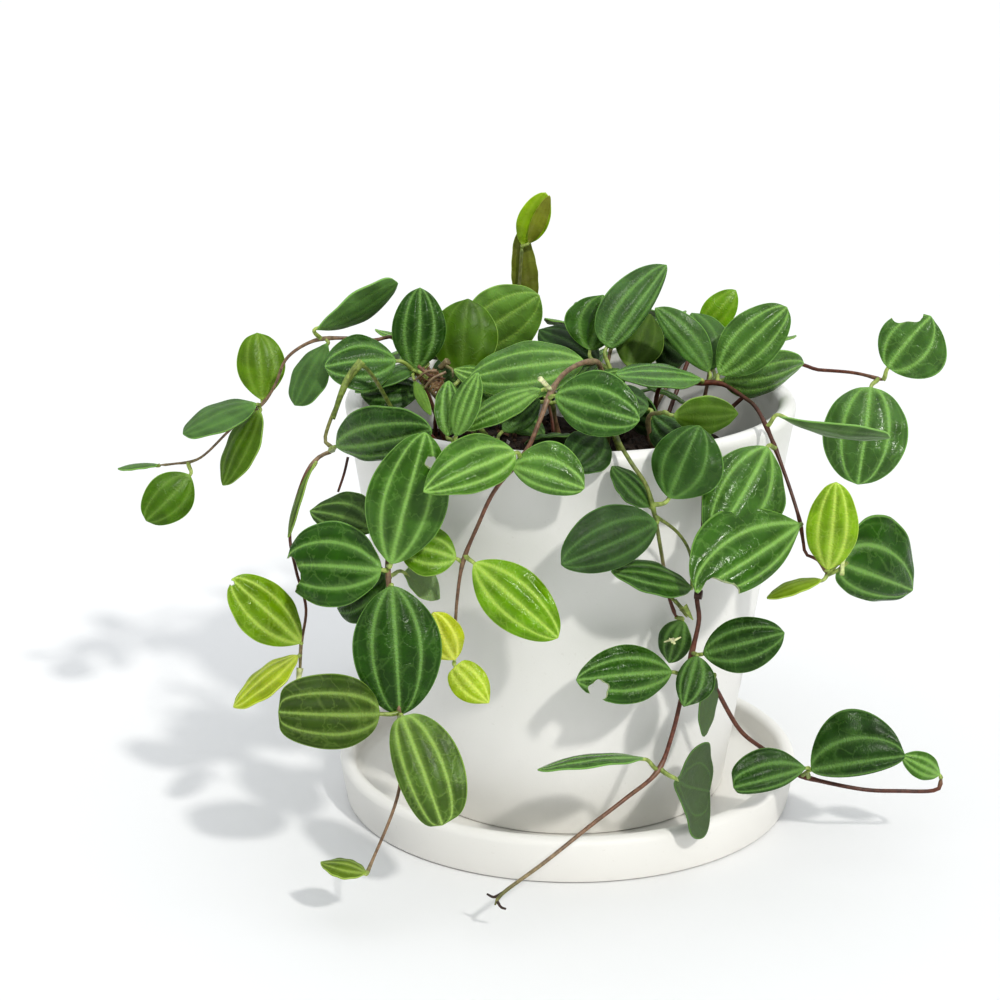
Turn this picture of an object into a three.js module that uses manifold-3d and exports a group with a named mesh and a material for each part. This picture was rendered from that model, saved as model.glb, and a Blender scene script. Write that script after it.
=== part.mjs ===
// A potted trailing peperomia: a plain tapered ceramic pot on a round saucer, its soil,
// and the leafy stems that stand in the soil, each stem with its leaves in one piece.
// Millimetres, +Z up. The origin is the centre of the saucer's underside, and -Y is the front.

import * as THREE from "three";
import Module from "manifold-3d";
import { mergeVertices } from "three/addons/utils/BufferGeometryUtils.js";

const wasm = await Module();
wasm.setup();

// Pot and saucer
const POT_RIM_RADIUS = 58.9;
const POT_BASE_RADIUS = 42.5;
const RIM_HEIGHT = 111.8;
const POT_WALL = 4.6;
const POT_FLOOR = 6;
const POT_EDGE = 1.5;
const POT_FILLET = 3;
const DRAIN_RADIUS = 6;
const SAUCER_RADIUS = 62;
const SAUCER_FOOT_RADIUS = 58.5;
const SAUCER_HEIGHT = 12.6;
const SAUCER_WALL = 4.2;
const SAUCER_FLOOR = 5;
const SAUCER_EDGE = 2;
const SAUCER_FILLET = 2.5;
const REST_GAP = 0.3;
const ROUND_SIDES = 40;

// Soil and the holes that the stems stand in
const SOIL_TOP = 93;
const SOIL_GAP = 0.7;
const SOIL_SHOULDER = 6;
const SOIL_SIDES = 28;
const HOLE_DEPTH = 9;
const HOLE_CLEARANCE = 1.5;
const HOLE_SIDES = 6;
const FOOT_RISE = 5;

// Stems and leaves
const STEM_SIDES = 5;
const STEM_STEP = 22;
const STEM_BEND = 0.34;
const CURVE_STEPS = 8;
const PETIOLE_RADIUS = 0.55;
const WELD = 0.05;
const BLADE_THICKNESS = 0.9;
const BROAD_LEAF = 14;
const BROAD_STATIONS = [0.07, 0.25, 0.5, 0.76, 0.93, 1];
const SMALL_STATIONS = [0.09, 0.33, 0.66, 0.9, 1];
const ARCH = 0.07;
const CAMBER = 0.11;
const BASE_POINT = 0.68;
const TIP_POINT = 0.52;

// Leaves placed by rule: the room that they keep to the other leaves, the pot and the table,
// the spread of their sizes, their slenderness, how their stalks stand off the stem, and how
// far the leaves turn outward, along the stem, up, down and away from the pot's axis. A leaf
// that finds no room is turned by TRY_TURN radians and shortened by TRY_SHRINK each time.
const LEAF_ROOM = 3.1;
const POT_ROOM = 2.6;
const TABLE_ROOM = 2;
const SMALLEST = 0.8;
const SIZE_SPREAD = 0.35;
const SLENDER = 0.58;
const SLENDER_SPREAD = 0.1;
const ROLL_SPREAD = 25;
const STALK_OUT = 5;
const STALK_AHEAD = 2;
const TURN_OUT = 0.35;
const HANG_OUT = 0.5;
const TURN_AHEAD = 0.35;
const LIFT = 0.1;
const DROOP = 0.5;
const FACE_OUT = 0.3;
const TRIES = 10;
const TRY_TURN = 0.63;
const TRY_SHRINK = 0.04;

const POT_Z = SAUCER_FLOOR + REST_GAP;
const POT_SLOPE = (POT_RIM_RADIUS - POT_BASE_RADIUS) / (RIM_HEIGHT - POT_Z);

const CERAMIC = new THREE.MeshStandardMaterial({ color: 0xefeee8, roughness: 0.55, metalness: 0 });
const EARTH = new THREE.MeshStandardMaterial({ color: 0x3b2a1e, roughness: 0.95, metalness: 0 });
const LEAF = new THREE.MeshStandardMaterial({ color: 0x2f6b24, roughness: 0.35, metalness: 0 });

// The view that the seen points below were read in: a long lens 618 mm before the pot's axis
// and 273 mm above the table, looking down by 17 degrees, on a picture of 1000 by 1000.
const VIEW_LENS = 2435;
const VIEW_DISTANCE = 617.9;
const VIEW_HEIGHT = 272.8;
const VIEW_PITCH = 0.2989;
const VIEW_SIDE = -18.37;
const VIEW_CENTRE = 500;
const EYE = new THREE.Vector3(VIEW_SIDE, -VIEW_DISTANCE, VIEW_HEIGHT);

// The point that shows at column u and row v of the picture and lies at depth y.
function seen(u, v, y) {
  const k = (VIEW_CENTRE - v) / VIEW_LENS;
  const forward = y + VIEW_DISTANCE;
  const sin = Math.sin(VIEW_PITCH);
  const cos = Math.cos(VIEW_PITCH);
  const rise = (forward * (k * cos - sin)) / (cos + k * sin);
  const depth = forward * cos - rise * sin;
  return new THREE.Vector3(((u - VIEW_CENTRE) / VIEW_LENS) * depth + VIEW_SIDE, y, rise + VIEW_HEIGHT);
}

function at(x, y, z) {
  return new THREE.Vector3(x, y, z);
}

// Where a stem stands in the soil: straight up out of its hole.
function foot(x, y) {
  const end = SOIL_TOP - HOLE_DEPTH + REST_GAP;
  return [at(x, y, end), at(x, y, SOIL_TOP), at(x, y, SOIL_TOP + FOOT_RISE)];
}

// A leaf: base and tip as seen points, width in mm, and its roll about its own length in
// degrees, where at 0 the upper face looks at the viewer. With lean above 0 the half on the
// side of its across direction is the wider one, and below 0 the other half.
function leaf(base, tip, width, roll = 0, lean = 0) {
  return { base: seen(...base), tip: seen(...tip), width, roll, lean };
}

// The leafy stems in the picture, each with its path, its side branches and its leaves.
const STEMS = {
  vine_front_left: {
    path: [...foot(-28, -30), at(-38, -35, 112.5), at(-44, -39.5, 115), seen(393, 445, -48),
      seen(390, 500, -57), seen(388, 570, -64), seen(394, 640, -68), seen(399, 712, -74),
      seen(399, 790, -80), seen(366, 876, -86)],
    girth: [1.15, 0.6],
    leaves: [
      leaf([391, 564, -67], [425, 434, -66], 19.5),
      leaf([381, 570, -66], [285, 565, -54], 21),
      leaf([392, 586, -67], [400, 714, -74], 21.5),
      leaf([403, 573, -56], [438, 598, -48], 12, 150),
      leaf([374, 529, -54], [311, 511, -48], 13, 30, 0.3),
      leaf([386, 576, -60], [338, 608, -52], 16, 40),
      leaf([380, 714, -76], [280, 712, -84], 18, 0, 0.1),
      leaf([402, 716, -77], [442, 824, -88], 16.3, 0, -0.2),
      leaf([366, 872, -86], [322, 862, -84], 10, 62),
    ],
  },
  vine_left: {
    path: [...foot(-40, -14), seen(366, 368, -26), seen(342, 395, -29), seen(325, 438, -31),
      seen(334, 449, -33), seen(318, 458, -34), seen(303, 480, -37), seen(290, 530, -41),
      seen(296, 570, -45), seen(306, 608, -47), seen(301, 645, -49), seen(300, 674, -50)],
    girth: [1.0, 0.55],
    leaves: [
      leaf([336, 447, -43], [430, 430, -63], 14, 15, -0.3),
      leaf([314, 462, -35], [288, 536, -43], 7, 80),
      leaf([301, 643, -50], [233, 580, -53], 14.5, 10),
      leaf([297, 655, -50], [234, 706, -55], 12, 55),
    ],
  },
  vine_centre: {
    path: [...foot(8, -20), seen(602, 374, -30), seen(588, 362, -40), seen(566, 372, -50),
      seen(551, 392, -57), seen(540, 420, -61), seen(525, 453, -64), seen(495, 490, -65),
      seen(478, 525, -64), seen(463, 562, -63), seen(457, 600, -62), seen(455, 635, -62),
      seen(454, 664, -62)],
    girth: [1.35, 0.7],
    branches: [[seen(552, 391, -57), seen(540, 379, -60)]],
    leaves: [
      leaf([584, 361, -38], [471, 377, -38], 16, 30),
      leaf([555, 396, -60], [638, 420, -66], 15.6, 0, -0.17),
      leaf([515, 452, -68], [425, 491, -79], 14.5, 20, 0.25),
      leaf([512, 466, -66], [583, 488, -69], 12.5, 0, -0.35),
      leaf([541, 389, -55], [462, 428, -57], 8, 35),
      leaf([474, 563, -66], [557, 637, -73], 15),
      leaf([456, 558, -62], [401, 546, -59], 12.5, 15),
      leaf([455, 660, -63], [434, 614, -66], 10.5),
      leaf([455, 666, -64], [488, 702, -67], 9.2),
    ],
  },
  vine_right_centre: {
    path: [...foot(14, -36), seen(610, 424, -49), seen(620, 444, -60), seen(632, 464, -63),
      seen(646, 485, -64), seen(654, 512, -64), seen(660, 545, -61), seen(665, 575, -57),
      seen(669, 597, -56), seen(676, 617, -57)],
    girth: [1.1, 0.7],
    branches: [
      [seen(655, 516, -64), seen(675, 530, -61), seen(688, 548, -60), seen(693, 570, -60),
        seen(691, 586, -60)],
      [seen(668, 594, -56), seen(679, 606, -58), seen(687, 617, -64)],
    ],
    leaves: [
      leaf([657, 523, -66], [563, 564, -77], 15, 0, 0.25),
      leaf([651, 506, -64], [613, 467, -61], 9, 45),
      leaf([669, 498, -63], [699, 427, -60], 17.5, 0, 0.12),
      leaf([603, 433, -57], [572, 468, -65], 12, 10),
      leaf([692, 587, -61], [613, 571, -70], 11, 45),
      leaf([682, 621, -56], [669, 662, -52], 8.5, 10),
    ],
  },
  vine_front_right: {
    path: [...foot(31, -26), seen(706, 402, -37), seen(705, 439, -50.5), seen(704, 500, -50),
      seen(702, 560, -53), seen(697, 596, -57), seen(699, 620, -58), seen(692, 652, -59),
      seen(683, 690, -61), seen(672, 735, -65), seen(657, 772, -69), seen(625, 799, -75),
      seen(590, 826, -80), seen(545, 862, -86), seen(503, 893, -90), seen(495, 905, -91)],
    girth: [1.2, 0.75],
    branches: [
      [seen(692, 652, -59), seen(702, 668, -56), seen(715, 687, -54), seen(740, 730, -48),
        seen(768, 752, -42), seen(790, 768, -40), seen(805, 777, -41), seen(860, 789, -42),
        seen(900, 791, -42), seen(936, 790, -42), seen(941, 778, -42)],
    ],
    leaves: [
      leaf([703, 654, -60], [783, 633, -62], 13.5),
      leaf([672, 672, -61], [578, 680, -69], 14.5),
      leaf([697, 656, -62], [684, 705, -69], 9.5, 0, -0.25),
      leaf([713, 675, -56], [703, 735, -58], 8, 60),
      leaf([643, 757, -69], [539, 769, -77], 12, 76),
      leaf([673, 778, -69], [708, 792, -47], 24, 180),
      leaf([806, 768, -46], [735, 787, -52], 11, 0, 0.4),
      leaf([811, 770, -45], [904, 756, -47], 17, 0, -0.6),
      leaf([940, 775, -43], [904, 757, -46], 7),
    ],
  },
  vine_right: {
    path: [...foot(22, -8), seen(660, 386, -16), seen(700, 383, -15), seen(722, 384, -18),
      seen(745, 398, -27), seen(757, 409, -34), seen(770, 435, -42), seen(787, 480, -48),
      seen(799, 518, -52), seen(803, 540, -54), seen(806, 554, -55), seen(818, 560, -56),
      seen(828, 575, -56)],
    girth: [1.3, 0.7],
    leaves: [
      leaf([709, 372, -14], [656, 309, -11], 9, 0, 0.3),
      leaf([713, 369, -8], [692, 314, 2], 13),
      leaf([719, 374, -16], [786, 308, -12], 14.5),
      leaf([724, 381, -14], [803, 364, -2], 15, 45),
      leaf([701, 378, -17], [617, 374, -24], 13, 62),
      leaf([768, 447, -48], [714, 540, -62], 21, -16, -0.12),
      leaf([779, 417, -41], [889, 438, -46], 11, 72),
      leaf([801, 524, -55], [697, 591, -72], 20, 0, 0.35),
      leaf([828, 570, -57], [836, 484, -61], 12.6),
      leaf([842, 560, -56], [914, 588, -43], 21, 0, -0.25),
      leaf([821, 579, -57], [768, 597, -59], 6, 55),
    ],
  },
  vine_right_back: {
    path: [...foot(36, 8), seen(780, 368, 8), seen(820, 370, 5), seen(855, 373, 1),
      seen(883, 380, -3)],
    girth: [1.1, 0.7],
    leaves: [
      leaf([871, 387, -5], [858, 483, -16], 22),
      leaf([888, 368, -3], [930, 319, -1], 18.5),
    ],
  },
  vine_far_left: {
    path: [...foot(-34, 12), seen(405, 345, 0), seen(372, 340, -5), seen(341, 338, -9),
      seen(313, 341, -8), seen(287, 358, -5), seen(275, 385, -1), seen(262, 404, 2),
      seen(232, 428, 4), seen(200, 458, 6), seen(172, 464, 8), seen(160, 465, 8)],
    girth: [1.15, 0.55],
    leaves: [
      leaf([317, 330, -11], [397, 284, -5], 13, 55),
      leaf([327, 343, -10], [295, 404, -15], 11, 35),
      leaf([262, 400, 2], [257, 334, 8], 12.8),
      leaf([256, 403, 1], [184, 433, -6], 12, 50),
      leaf([259, 410, 1], [223, 484, -4], 12, 45),
      leaf([190, 475, 5], [147, 520, 0], 13),
      leaf([158, 464, 8], [119, 468, 6], 7, 80),
    ],
  },
  shoot_left: {
    path: [...foot(-24, 0), seen(432, 392, -8), seen(417, 374, -12)],
    girth: [1.1, 0.8],
    leaves: [
      leaf([416, 369, -12], [420, 289, -8], 14),
      leaf([462, 372, -3], [468, 300, 3], 18),
      leaf([396, 360, -15], [326, 366, -20], 16, 25),
      leaf([426, 362, -9], [356, 391, -15], 9, 60),
      leaf([420, 390, -11], [362, 394, -11], 11, 35),
      leaf([456, 400, 4], [449, 352, 13], 12),
      leaf([498, 402, 6], [468, 368, 11], 13),
    ],
  },
  shoot_back_left: {
    path: [...foot(-14.5, 24.5), seen(508, 340, 26), seen(518, 295, 30), seen(522, 247, 30)],
    girth: [1.1, 0.7],
    leaves: [
      leaf([466, 345, 22], [538, 296, 18], 19),
      leaf([528, 322, 34], [521, 232, 33], 7.5, 10),
      leaf([522, 245, 30], [545, 194, 27], 8.5),
    ],
  },
  shoot_front_left: {
    path: [...foot(-12, -36), seen(470, 420, -47), seen(453, 442, -60)],
    girth: [1.0, 0.7],
    leaves: [
      leaf([455, 436, -61], [477, 374, -61], 7.5, -25),
      leaf([448, 436, -59], [449, 382, -54], 8, 25),
      leaf([503, 431, -36], [539, 400, -30], 7),
      leaf([476, 412, -40], [444, 402, -27], 11, 40),
    ],
  },
  shoot_centre: {
    path: [...foot(10, 0), seen(614, 392, -6), seen(611, 372, -9)],
    girth: [1.1, 0.8],
    leaves: [
      leaf([607, 347, -8], [666, 266, 4], 12, 0, -0.35),
      leaf([590, 350, -3], [603, 296, 5], 14, 0, -0.2),
      leaf([628, 366, -1], [650, 315, 8], 13),
      leaf([598, 362, 2], [540, 330, 10], 14, 40),
      leaf([620, 404, -20], [660, 424, -33], 12, 40),
    ],
  },
  shoot_front_right: {
    path: [...foot(22, -34), seen(648, 421, -45), seen(664, 412, -51)],
    girth: [1.0, 0.8],
    leaves: [
      leaf([674, 416, -55], [737, 414, -53], 10, 20),
      leaf([648, 408, -40], [596, 402, -34], 13, 35),
      leaf([688, 444, -46], [654, 416, -40], 11, 20),
    ],
  },
  shoot_back_right: {
    path: [...foot(22, 22), seen(688, 350, 32), seen(699, 333, 34)],
    girth: [1.0, 0.7],
    leaves: [
      leaf([701, 329, 34], [735, 291, 36], 9),
      leaf([690, 358, 26], [662, 340, 14], 14),
    ],
  },
};

// The leafy stems on the sides that the picture doesn't show, and the short shoots that fill
// the crown. Their leaves stand in whorls: how many whorls, from which share of the path on,
// how many leaves in each, and the length of a leaf.
const HIDDEN_STEMS = {
  vine_back_left: {
    path: [...foot(-24, 30), at(-38, 52, 121), at(-45, 62, 104), at(-45, 68, 78), at(-41, 72, 52),
      at(-38, 78, 28)],
    girth: [1.1, 0.6],
    whorls: { count: 4, from: 0.3, leaves: 2, length: 26 },
  },
  vine_back: {
    path: [...foot(4, 36), at(8, 64, 122), at(10, 75, 104), at(6, 77, 76), at(-3, 76, 50)],
    girth: [1.2, 0.6],
    whorls: { count: 4, from: 0.3, leaves: 2, length: 27 },
  },
  vine_back_right: {
    path: [...foot(28, 30), at(41, 50, 122), at(48, 64, 104), at(46, 69, 80), at(40, 72, 58)],
    girth: [1.1, 0.6],
    whorls: { count: 4, from: 0.34, leaves: 2, length: 25 },
  },
  shoot_back: {
    path: [...foot(-4, 12), at(-6, 18, 112), at(-8, 22, 119)],
    girth: [1.1, 0.8],
    whorls: { count: 2, from: 0.62, leaves: 3, length: 25 },
  },
  shoot_far_back: {
    path: [...foot(10, 44), at(12, 46, 109), at(13, 47, 114)],
    girth: [1.0, 0.8],
    whorls: { count: 2, from: 0.6, leaves: 3, length: 20 },
  },
  shoot_side: {
    path: [...foot(36, 22), at(38, 24, 108), at(39, 26, 113)],
    girth: [1.0, 0.8],
    whorls: { count: 2, from: 0.6, leaves: 3, length: 17 },
  },
  shoot_middle: {
    path: [...foot(-2, -12), at(-4, -16, 108), at(-5, -19, 114)],
    girth: [1.0, 0.8],
    whorls: { count: 2, from: 0.6, leaves: 3, length: 23 },
  },
  shoot_corner: {
    path: [...foot(-36, 26), at(-34, 30, 108), at(-33, 33, 113)],
    girth: [1.0, 0.8],
    whorls: { count: 2, from: 0.6, leaves: 3, length: 17 },
  },
};

// The same draws on every run.
let draw = 20117;
function random() {
  draw = (draw * 16807) % 2147483647;
  return draw / 2147483647;
}

// A point of the smooth curve through a stem's points, and its whole course in short steps.
function course(points) {
  return new THREE.CatmullRomCurve3(points, false, "catmullrom", 0.5)
    .getPoints(CURVE_STEPS * (points.length - 1));
}

// The outer radius of the pot at height z.
function potRadius(z) {
  return POT_BASE_RADIUS + (z - POT_Z) * POT_SLOPE;
}

// The outline of a blade: its half width, as a share of the full one, at share t of its length.
function outline(t) {
  return Math.sin(Math.PI * t) ** (BASE_POINT + (TIP_POINT - BASE_POINT) * t);
}

// A leaf's own directions: along it, across it and out of its upper face.
function bladeFrame({ base, tip, roll, up }) {
  const along = tip.clone().sub(base);
  const length = along.length();
  along.normalize();
  const toward = up ? up.clone() : EYE.clone().sub(base);
  const normal = toward.addScaledVector(along, -toward.dot(along)).normalize();
  normal.applyAxisAngle(along, THREE.MathUtils.degToRad(roll));
  const across = new THREE.Vector3().crossVectors(along, normal);
  return { along, across, normal, length };
}

// The point of a blade's upper face at share t of its length and share s of its half width.
function bladePoint(blade, frame, t, s) {
  const half = 0.5 * blade.width * outline(t) * (1 + blade.lean * s);
  const rise = ARCH * frame.length * 4 * t * (1 - t) - CAMBER * blade.width * s * s * outline(t);
  return blade.base.clone()
    .addScaledVector(frame.along, t * frame.length)
    .addScaledVector(frame.across, s * half)
    .addScaledVector(frame.normal, rise);
}

// Points spread over a blade, which stand for it when its room is measured.
function bladeSamples(blade) {
  const frame = bladeFrame(blade);
  const points = [];
  for (const t of [0, 0.2, 0.4, 0.6, 0.8, 1]) {
    for (const s of [-1, -0.5, 0, 0.5, 1]) {
      points.push(bladePoint(blade, frame, Math.min(Math.max(t, 0.02), 0.98), s));
    }
  }
  return points;
}

// A course with only the points that its bends need.
function thinned(points) {
  const kept = [points[0]];
  let heading = points[1].clone().sub(points[0]).normalize();
  for (let i = 1; i < points.length - 1; i++) {
    const next = points[i + 1].clone().sub(points[i]).normalize();
    const far = points[i + 1].distanceTo(kept[kept.length - 1]) > STEM_STEP;
    if (next.angleTo(heading) < STEM_BEND && !far) continue;
    kept.push(points[i]);
    heading = next;
  }
  kept.push(points[points.length - 1]);
  return kept;
}

// The point of a stem that a leaf grows from: the nearest one to the leaf's base.
function nearest(runs, base) {
  let best = null;
  for (const points of runs) {
    for (let i = 1; i < points.length; i++) {
      const p = new THREE.Line3(points[i - 1], points[i]).closestPointToPoint(base, true, at(0, 0, 0));
      if (!best || p.distanceTo(base) < best.distanceTo(base)) best = p;
    }
  }
  return best;
}

function solid(positions, triangles) {
  return new wasm.Manifold(new wasm.Mesh({
    numProp: 3,
    vertProperties: Float32Array.from(positions),
    triVerts: Uint32Array.from(triangles),
  }));
}

function solidOf(geometry) {
  geometry.deleteAttribute("normal");
  geometry.deleteAttribute("uv");
  const merged = mergeVertices(geometry, 1e-4);
  return solid(merged.attributes.position.array, merged.index.array);
}

function geometryOf(body) {
  const mesh = body.getMesh();
  const geometry = new THREE.BufferGeometry();
  geometry.setAttribute("position", new THREE.BufferAttribute(mesh.vertProperties, 3));
  geometry.setIndex(new THREE.BufferAttribute(mesh.triVerts, 1));
  geometry.computeVertexNormals();
  return geometry;
}

// A tapered round tube along straight runs between the points, with its two ends closed.
function tube(points, radii, sides) {
  const steps = points.length - 1;
  const positions = [];
  const triangles = [];
  const heading = points[1].clone().sub(points[0]).normalize();
  const side = Math.abs(heading.z) < 0.9 ? at(0, 0, 1) : at(1, 0, 0);
  side.cross(heading).normalize();
  for (let i = 0; i <= steps; i++) {
    const before = points[Math.max(i - 1, 0)];
    const after = points[Math.min(i + 1, steps)];
    const next = after.clone().sub(before).normalize();
    side.applyQuaternion(new THREE.Quaternion().setFromUnitVectors(heading, next));
    heading.copy(next);
    const radius = THREE.MathUtils.lerp(radii[0], radii[1], i / steps);
    for (let j = 0; j < sides; j++) {
      const spoke = side.clone().applyAxisAngle(heading, (2 * Math.PI * j) / sides);
      const p = points[i].clone().addScaledVector(spoke, radius);
      positions.push(p.x, p.y, p.z);
    }
  }
  for (let i = 0; i < steps; i++) {
    for (let j = 0; j < sides; j++) {
      const a = i * sides + j;
      const b = i * sides + ((j + 1) % sides);
      triangles.push(a, b, b + sides, a, b + sides, a + sides);
    }
  }
  const last = steps * sides;
  for (let j = 1; j < sides - 1; j++) {
    triangles.push(0, j + 1, j, last, last + j, last + j + 1);
  }
  return solid(positions, triangles);
}

// A leaf on its stalk, in rows of points from inside the stem to the tip: two across the
// stalk, three across the blade and one at the tip, the same on the upper and lower faces.
function leafSolid(blade, runs) {
  const frame = bladeFrame(blade);
  const root = nearest(runs, blade.base);
  const stalk = blade.base.clone().sub(root).normalize();
  const bend = stalk.clone().add(frame.along).normalize();
  const positions = [];
  const triangles = [];

  const point = (top, under) => {
    positions.push(top.x, top.y, top.z, under.x, under.y, under.z);
    return positions.length / 3 - 2;
  };
  const stalkRow = (centre, heading) => {
    const turn = new THREE.Quaternion().setFromUnitVectors(frame.along, heading);
    const across = frame.across.clone().applyQuaternion(turn).multiplyScalar(PETIOLE_RADIUS);
    const normal = frame.normal.clone().applyQuaternion(turn).multiplyScalar(PETIOLE_RADIUS);
    return [-1, 1].map((s) => {
      const edge = centre.clone().addScaledVector(across, s);
      return point(edge.clone().add(normal), edge.clone().sub(normal));
    });
  };
  const bladeRow = (t) => (t === 1 ? [0] : [-1, 0, 1]).map((s) => {
    const top = bladePoint(blade, frame, t, s);
    return point(top, top.clone().addScaledVector(frame.normal, -BLADE_THICKNESS));
  });

  const face = (a, b, c) => triangles.push(a, b, c, a + 1, c + 1, b + 1);
  const wall = (a, b) => triangles.push(a, a + 1, b + 1, a, b + 1, b);
  const stations = blade.width > BROAD_LEAF ? BROAD_STATIONS : SMALL_STATIONS;
  const neck = blade.base.clone().addScaledVector(frame.normal, -BLADE_THICKNESS / 2);
  const rows = [stalkRow(root, stalk), stalkRow(neck, bend), ...stations.map(bladeRow)];
  wall(rows[0][0], rows[0][1]);
  for (let i = 1; i < rows.length; i++) {
    const [near, far] = [rows[i - 1], rows[i]];
    const last = Math.max(near.length, far.length) - 1;
    for (let j = 0; j < last; j++) {
      const [n, m] = [near[Math.min(j, near.length - 1)], near[Math.min(j + 1, near.length - 1)]];
      const [f, g] = [far[Math.min(j, far.length - 1)], far[Math.min(j + 1, far.length - 1)]];
      if (n !== m) face(n, m, f);
      if (f !== g) face(m, g, f);
    }
    wall(far[0], near[0]);
    wall(near[near.length - 1], far[far.length - 1]);
  }
  return solid(positions, triangles);
}

// All that a new leaf has to keep clear of: the blades and stems that are already placed.
const taken = [];

function claim(points) {
  const sphere = new THREE.Sphere().setFromPoints(points);
  taken.push({ points, sphere });
}

function hasRoom(points, room) {
  const sphere = new THREE.Sphere().setFromPoints(points);
  for (const p of points) {
    const radius = Math.hypot(p.x, p.y);
    if (p.z < TABLE_ROOM) return false;
    if (p.z < RIM_HEIGHT + POT_ROOM && radius < potRadius(p.z) + POT_ROOM) {
      if (radius > potRadius(p.z) - POT_WALL - POT_ROOM || p.z < SOIL_TOP + POT_ROOM) return false;
    }
  }
  for (const other of taken) {
    if (sphere.center.distanceTo(other.sphere.center) > sphere.radius + other.sphere.radius + room) {
      continue;
    }
    for (const p of points) {
      for (const q of other.points) {
        if (p.distanceTo(q) < room) return false;
      }
    }
  }
  return true;
}

// The leaves of a hidden stem. Each whorl spreads evenly round the stem, starting at a drawn
// turn. The leaves lean outwards from the pot's axis, and hang more where the stem hangs more.
// A leaf that finds no room in all its tries is left out.
function whorlLeaves({ path, whorls }) {
  const points = course(path);
  const found = [];
  for (let i = 0; i < whorls.count; i++) {
    const share = whorls.from + ((1 - whorls.from) * i) / (whorls.count - 1);
    const index = Math.min(points.length - 2, Math.round(share * (points.length - 1)));
    const node = points[index];
    const ahead = points[index + 1].clone().sub(node).normalize();
    const outward = at(node.x, node.y, 0).normalize();
    const hang = Math.max(0, -ahead.z);
    const turn = random() * 2 * Math.PI;
    for (let j = 0; j < whorls.leaves; j++) {
      const size = whorls.length * (SMALLEST + SIZE_SPREAD * random());
      const jitter = random() - 0.5;
      for (let attempt = 0; attempt < TRIES; attempt++) {
        const place = turn + (2 * Math.PI * j) / whorls.leaves;
        const angle = place + 0.5 * jitter + TRY_TURN * attempt;
        const spread = at(Math.cos(angle), Math.sin(angle), 0)
          .addScaledVector(outward, TURN_OUT + HANG_OUT * hang).normalize();
        const length = size * (1 - TRY_SHRINK * attempt);
        const along = spread.clone().addScaledVector(ahead, TURN_AHEAD)
          .add(at(0, 0, LIFT - DROOP * hang)).normalize();
        const base = node.clone()
          .addScaledVector(spread, STALK_OUT)
          .addScaledVector(ahead, STALK_AHEAD);
        const blade = {
          base,
          tip: base.clone().addScaledVector(along, length),
          width: length * (SLENDER + SLENDER_SPREAD * jitter),
          roll: ROLL_SPREAD * jitter,
          lean: 0,
          up: at(0, 0, 1).addScaledVector(outward, FACE_OUT + hang),
        };
        const samples = bladeSamples(blade);
        if (!hasRoom(samples, LEAF_ROOM)) continue;
        claim(samples);
        found.push(blade);
        break;
      }
    }
  }
  return found;
}

// A stem with its side branches and leaves, joined in one solid. Of what the join leaves, only
// the plant is kept, and not the specks where two faces just cross.
function leafyStem({ path, girth, branches = [], leaves }) {
  const runs = [path, ...branches].map((points) => thinned(course(points)));
  const parts = runs.map((run, i) => tube(run, [girth[Math.min(i, 1)], girth[1]], STEM_SIDES));
  for (const blade of leaves) parts.push(leafSolid(blade, runs));
  const pieces = wasm.Manifold.union(parts).simplify(WELD).decompose();
  return pieces.sort((a, b) => b.volume() - a.volume())[0];
}

// Points of an arc in the plane of a lathe profile, from angle a to angle b in degrees.
function arc(x, z, radius, a, b, steps) {
  const points = [];
  for (let i = 0; i <= steps; i++) {
    const angle = THREE.MathUtils.degToRad(a + ((b - a) * i) / steps);
    points.push(new THREE.Vector2(x + radius * Math.cos(angle), z + radius * Math.sin(angle)));
  }
  return points;
}

function turned(profile, sides) {
  return solidOf(new THREE.LatheGeometry(profile, sides).rotateX(Math.PI / 2));
}

function potSolid() {
  const lip = POT_WALL / 2;
  const rim = POT_RIM_RADIUS - lip;
  const inner = potRadius(POT_Z + POT_FLOOR + POT_FILLET) - POT_WALL;
  const profile = [
    new THREE.Vector2(DRAIN_RADIUS, POT_Z),
    ...arc(POT_BASE_RADIUS - POT_EDGE, POT_Z + POT_EDGE, POT_EDGE, -90, 0, 2),
    ...arc(rim, RIM_HEIGHT - lip, lip, -5, 185, 5),
    new THREE.Vector2(inner, POT_Z + POT_FLOOR + POT_FILLET),
    new THREE.Vector2(inner - POT_FILLET, POT_Z + POT_FLOOR),
    new THREE.Vector2(DRAIN_RADIUS, POT_Z + POT_FLOOR),
    new THREE.Vector2(DRAIN_RADIUS, POT_Z),
  ];
  return turned(profile, ROUND_SIDES);
}

function saucerSolid() {
  const lip = SAUCER_WALL / 2;
  const inner = SAUCER_RADIUS - SAUCER_WALL;
  const profile = [
    new THREE.Vector2(0, 0),
    ...arc(SAUCER_FOOT_RADIUS, SAUCER_EDGE, SAUCER_EDGE, -90, -20, 2),
    ...arc(SAUCER_RADIUS - lip, SAUCER_HEIGHT - lip, lip, 0, 180, 4),
    ...arc(inner - SAUCER_FILLET, SAUCER_FLOOR + SAUCER_FILLET, SAUCER_FILLET, 0, -90, 2),
    new THREE.Vector2(0, SAUCER_FLOOR),
  ];
  return turned(profile, ROUND_SIDES);
}

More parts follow.
